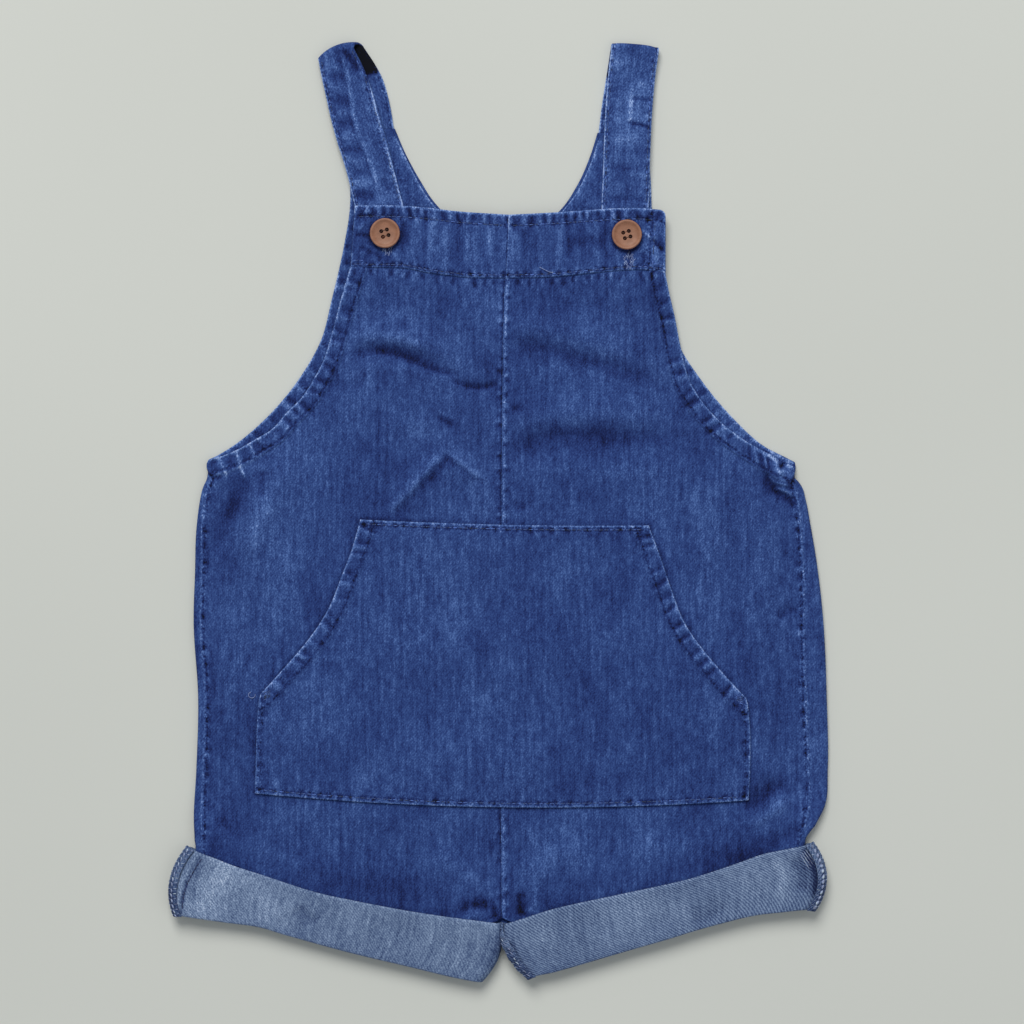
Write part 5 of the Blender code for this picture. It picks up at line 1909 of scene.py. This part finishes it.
BUTTON_SECTION = rows_of("""
0 1.35
3.2 1.36
4.6 1.46
5.5 1.72
6.1 2.14
6.5 2.4
6.85 2.5
7.15 2.46
7.38 2.22
rim 1.7
7.3 0.9
6.8 0.25
6.2 0
0 0
""")


def button_holes():
    """The places of a button's four holes, from its centre."""
    for quarter in range(4):
        bearing = math.radians(HOLE_BEARING + 90 * quarter)
        yield BUTTON_HOLE_RING * np.array([math.cos(bearing), math.sin(bearing)])


def mesh_of(form, name):
    """A finished form as an object of its own."""
    mesh = bpy.data.meshes.new(name)
    form.to_mesh(mesh)
    form.free()
    return placed(name, mesh)


def make_button(side):
    """A turned button with a thin rim, a shallow dish and four holes."""
    x, y = BUTTONS[side]
    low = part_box(f"button_{side}")[0][2] / MM
    form = bmesh.new()
    rim = [form.verts.new((radius, 0, height)) for radius, height in BUTTON_SECTION]
    edges = [form.edges.new(pair) for pair in zip(rim, rim[1:])]
    spin = {"cent": (0, 0, 0), "axis": (0, 0, 1), "angle": 2 * math.pi, "steps": 72}
    bmesh.ops.spin(form, geom=rim + edges, use_merge=True, **spin)
    bmesh.ops.remove_doubles(form, verts=form.verts, dist=0.001)
    bmesh.ops.recalc_face_normals(form, faces=form.faces)
    body = mesh_of(form, "turned")
    form = bmesh.new()
    drill = {"segments": 20, "radius1": BUTTON_HOLE, "radius2": BUTTON_HOLE, "depth": 12}
    for place in button_holes():
        hole = bmesh.ops.create_cone(form, cap_ends=True, **drill)
        bmesh.ops.translate(form, verts=hole["verts"], vec=(*place, 0))
    cutter = mesh_of(form, "drills")
    holes = body.modifiers.new("holes", "BOOLEAN")
    holes.solver = "EXACT"
    holes.object = cutter
    mesh = bpy.data.meshes.new_from_object(body.evaluated_get(bpy.context.evaluated_depsgraph_get()))
    for scrap in (body, cutter):
        bpy.data.objects.remove(scrap, do_unlink=True)
    mesh.transform(Matrix.Translation((x * MM, y * MM, low * MM)) @ Matrix.Scale(MM, 4))
    mesh.materials.clear()
    mesh.materials.append(HORN)
    mesh.shade_smooth()
    mesh.set_sharp_from_angle(angle=math.radians(40))
    declare(placed(f"button_{side}_turned", mesh), f"button_{side}", "button_brown")
    return low


def tie_button(threads, side, low):
    """The threads in a button's holes, and the two short bars that join them."""
    holes = [np.array(BUTTONS[side]) + place for place in button_holes()]
    for hole in holes:
        threads.strand([(*hole, low + rise) for rise in (0.1, 0.3, 0.5)], 0.7)
    for first, second in ((0, 1), (2, 3)):
        shares = np.array([0.02, 0.14, 0.3, 0.5, 0.7, 0.86, 0.98])[:, None]
        flat = between(holes[first], holes[second], shares)
        heights = low + np.array([0.3, 0.9, 1.28, 1.34, 1.28, 0.9, 0.3])
        threads.strand(np.column_stack([flat, heights]), 0.22)


def main():
    for side in SIDES:
        for make in (make_back, make_front, make_band, make_strap, make_cuff):
            make(side)
    make_facing()
    make_pocket()
    topstitch = Threads("topstitching", BLUE_THREAD, "denim")
    for sew in (sew_front, sew_pocket, sew_straps, sew_back):
        sew(topstitch)
    topstitch.make()
    edging = Threads("overlock_threads", PALE_THREAD, "denim_wrong_side")
    for name, side, first, last, size in (
        ("cuff_seam_left", "left", -2, -0.1, 0.45),
        ("cuff_seam_right", "right", -2, 0, 0.85),
        ("inseam_right", "right", CUFF_STATIONS + 0.5, CUFF_STATIONS - 1.1, 0.3),
    ):
        overlock(edging, make_allowance(name, side, first, last), 2.7, size, len(name))
    cuff = tree_of("cuff_right_cloth")
    for i in range(7):
        start = np.array([149.6 + 1.1 * i, -169.4 + 0.4 * i])
        end = np.array([155.4 + 0.9 * i, -178.6 + 1.2 * i])
        edging.stitch(cuff, np.linspace(start, end, 5), 0.17)
    edging.make()
    cuff = tree_of("cuff_left_cloth")
    line = along([CUFF_ROW["x"], CUFF_ROW["y"]], 30)
    cuff_row = Threads("cuff_seam_stitches", NAVY_THREAD, "denim")
    cuff_row.row(cuff, line, 2.3, radius=0.3)
    cuff_row.make()
    holes = Threads("buttonhole_threads", WORN_THREAD, "denim")
    for side, middle in {"left": 132.4, "right": 125.6}.items():
        buttonhole(holes, tree_of(f"band_{side}_cloth"), BUTTONS[side][0] + 1.2, middle, 7)
    bib = tree_of("band_right_cloth")
    loose_thread(holes, bib, ((20.5, 122.3), (23.1, 120.9), (25.6, 119.8), (27.4, 119.6)), 0.6)
    front = tree_of("front_left_cloth")
    turns = np.linspace(1.9, 6.6, 9)
    loop = list(zip(-123.2 + 1.7 * np.cos(turns), -91.4 + 1.5 * np.sin(turns)))
    loose_thread(holes, front, loop, 0.3)
    holes.make()
    ties = Threads("button_threads", BROWN_THREAD, "button_brown")
    for side in SIDES:
        tie_button(ties, side, make_button(side))
    ties.make()


# Camera, floor and light


def aim(lamp, place, size, power, colour):
    light = bpy.data.lights.new(lamp, "AREA")
    light.shape = "DISK"
    light.size = size
    light.energy = power
    light.color = colour
    holder = bpy.data.objects.new(lamp, light)
    holder.location = place
    holder.rotation_euler = (-Vector(place)).to_track_quat("-Z", "Y").to_euler()
    bpy.context.scene.collection.objects.link(holder)


def stage_and_light():
    scene = bpy.context.scene
    scene.view_settings.view_transform = "Standard"
    camera = bpy.data.cameras.new("camera")
    camera.sensor_width = SENSOR
    camera.lens = SENSOR * CAMERA_RISE / FRAME_WIDTH
    holder = bpy.data.objects.new("camera", camera)
    holder.location = (CAMERA_X * MM, 0, (CAMERA_RISE + GARMENT_MIDDLE) * MM)
    scene.collection.objects.link(holder)
    scene.camera = holder
    mesh = bpy.data.meshes.new("floor")
    sides = (-1, -1), (1, -1), (1, 1), (-1, 1)
    corners = [(x * FLOOR_REACH, y * FLOOR_REACH, FLOOR_LEVEL) for x, y in sides]
    mesh.from_pydata(corners, [], [(0, 1, 2, 3)])
    mesh.materials.append(floor_look())
    placed("floor", mesh)
    aim("key", (-0.55, 2.2, 2.8), 2.2, 98, (1, 0.985, 0.96))
    aim("fill", (0.9, -0.6, 1.5), 1.6, 3, (0.93, 0.96, 1))
    world = bpy.data.worlds.new("studio")
    world.use_nodes = True
    world.node_tree.nodes["Background"].inputs["Color"].default_value = (0.9, 0.95, 1, 1)
    world.node_tree.nodes["Background"].inputs["Strength"].default_value = 0.335
    scene.world = world


main()
stage_and_light()
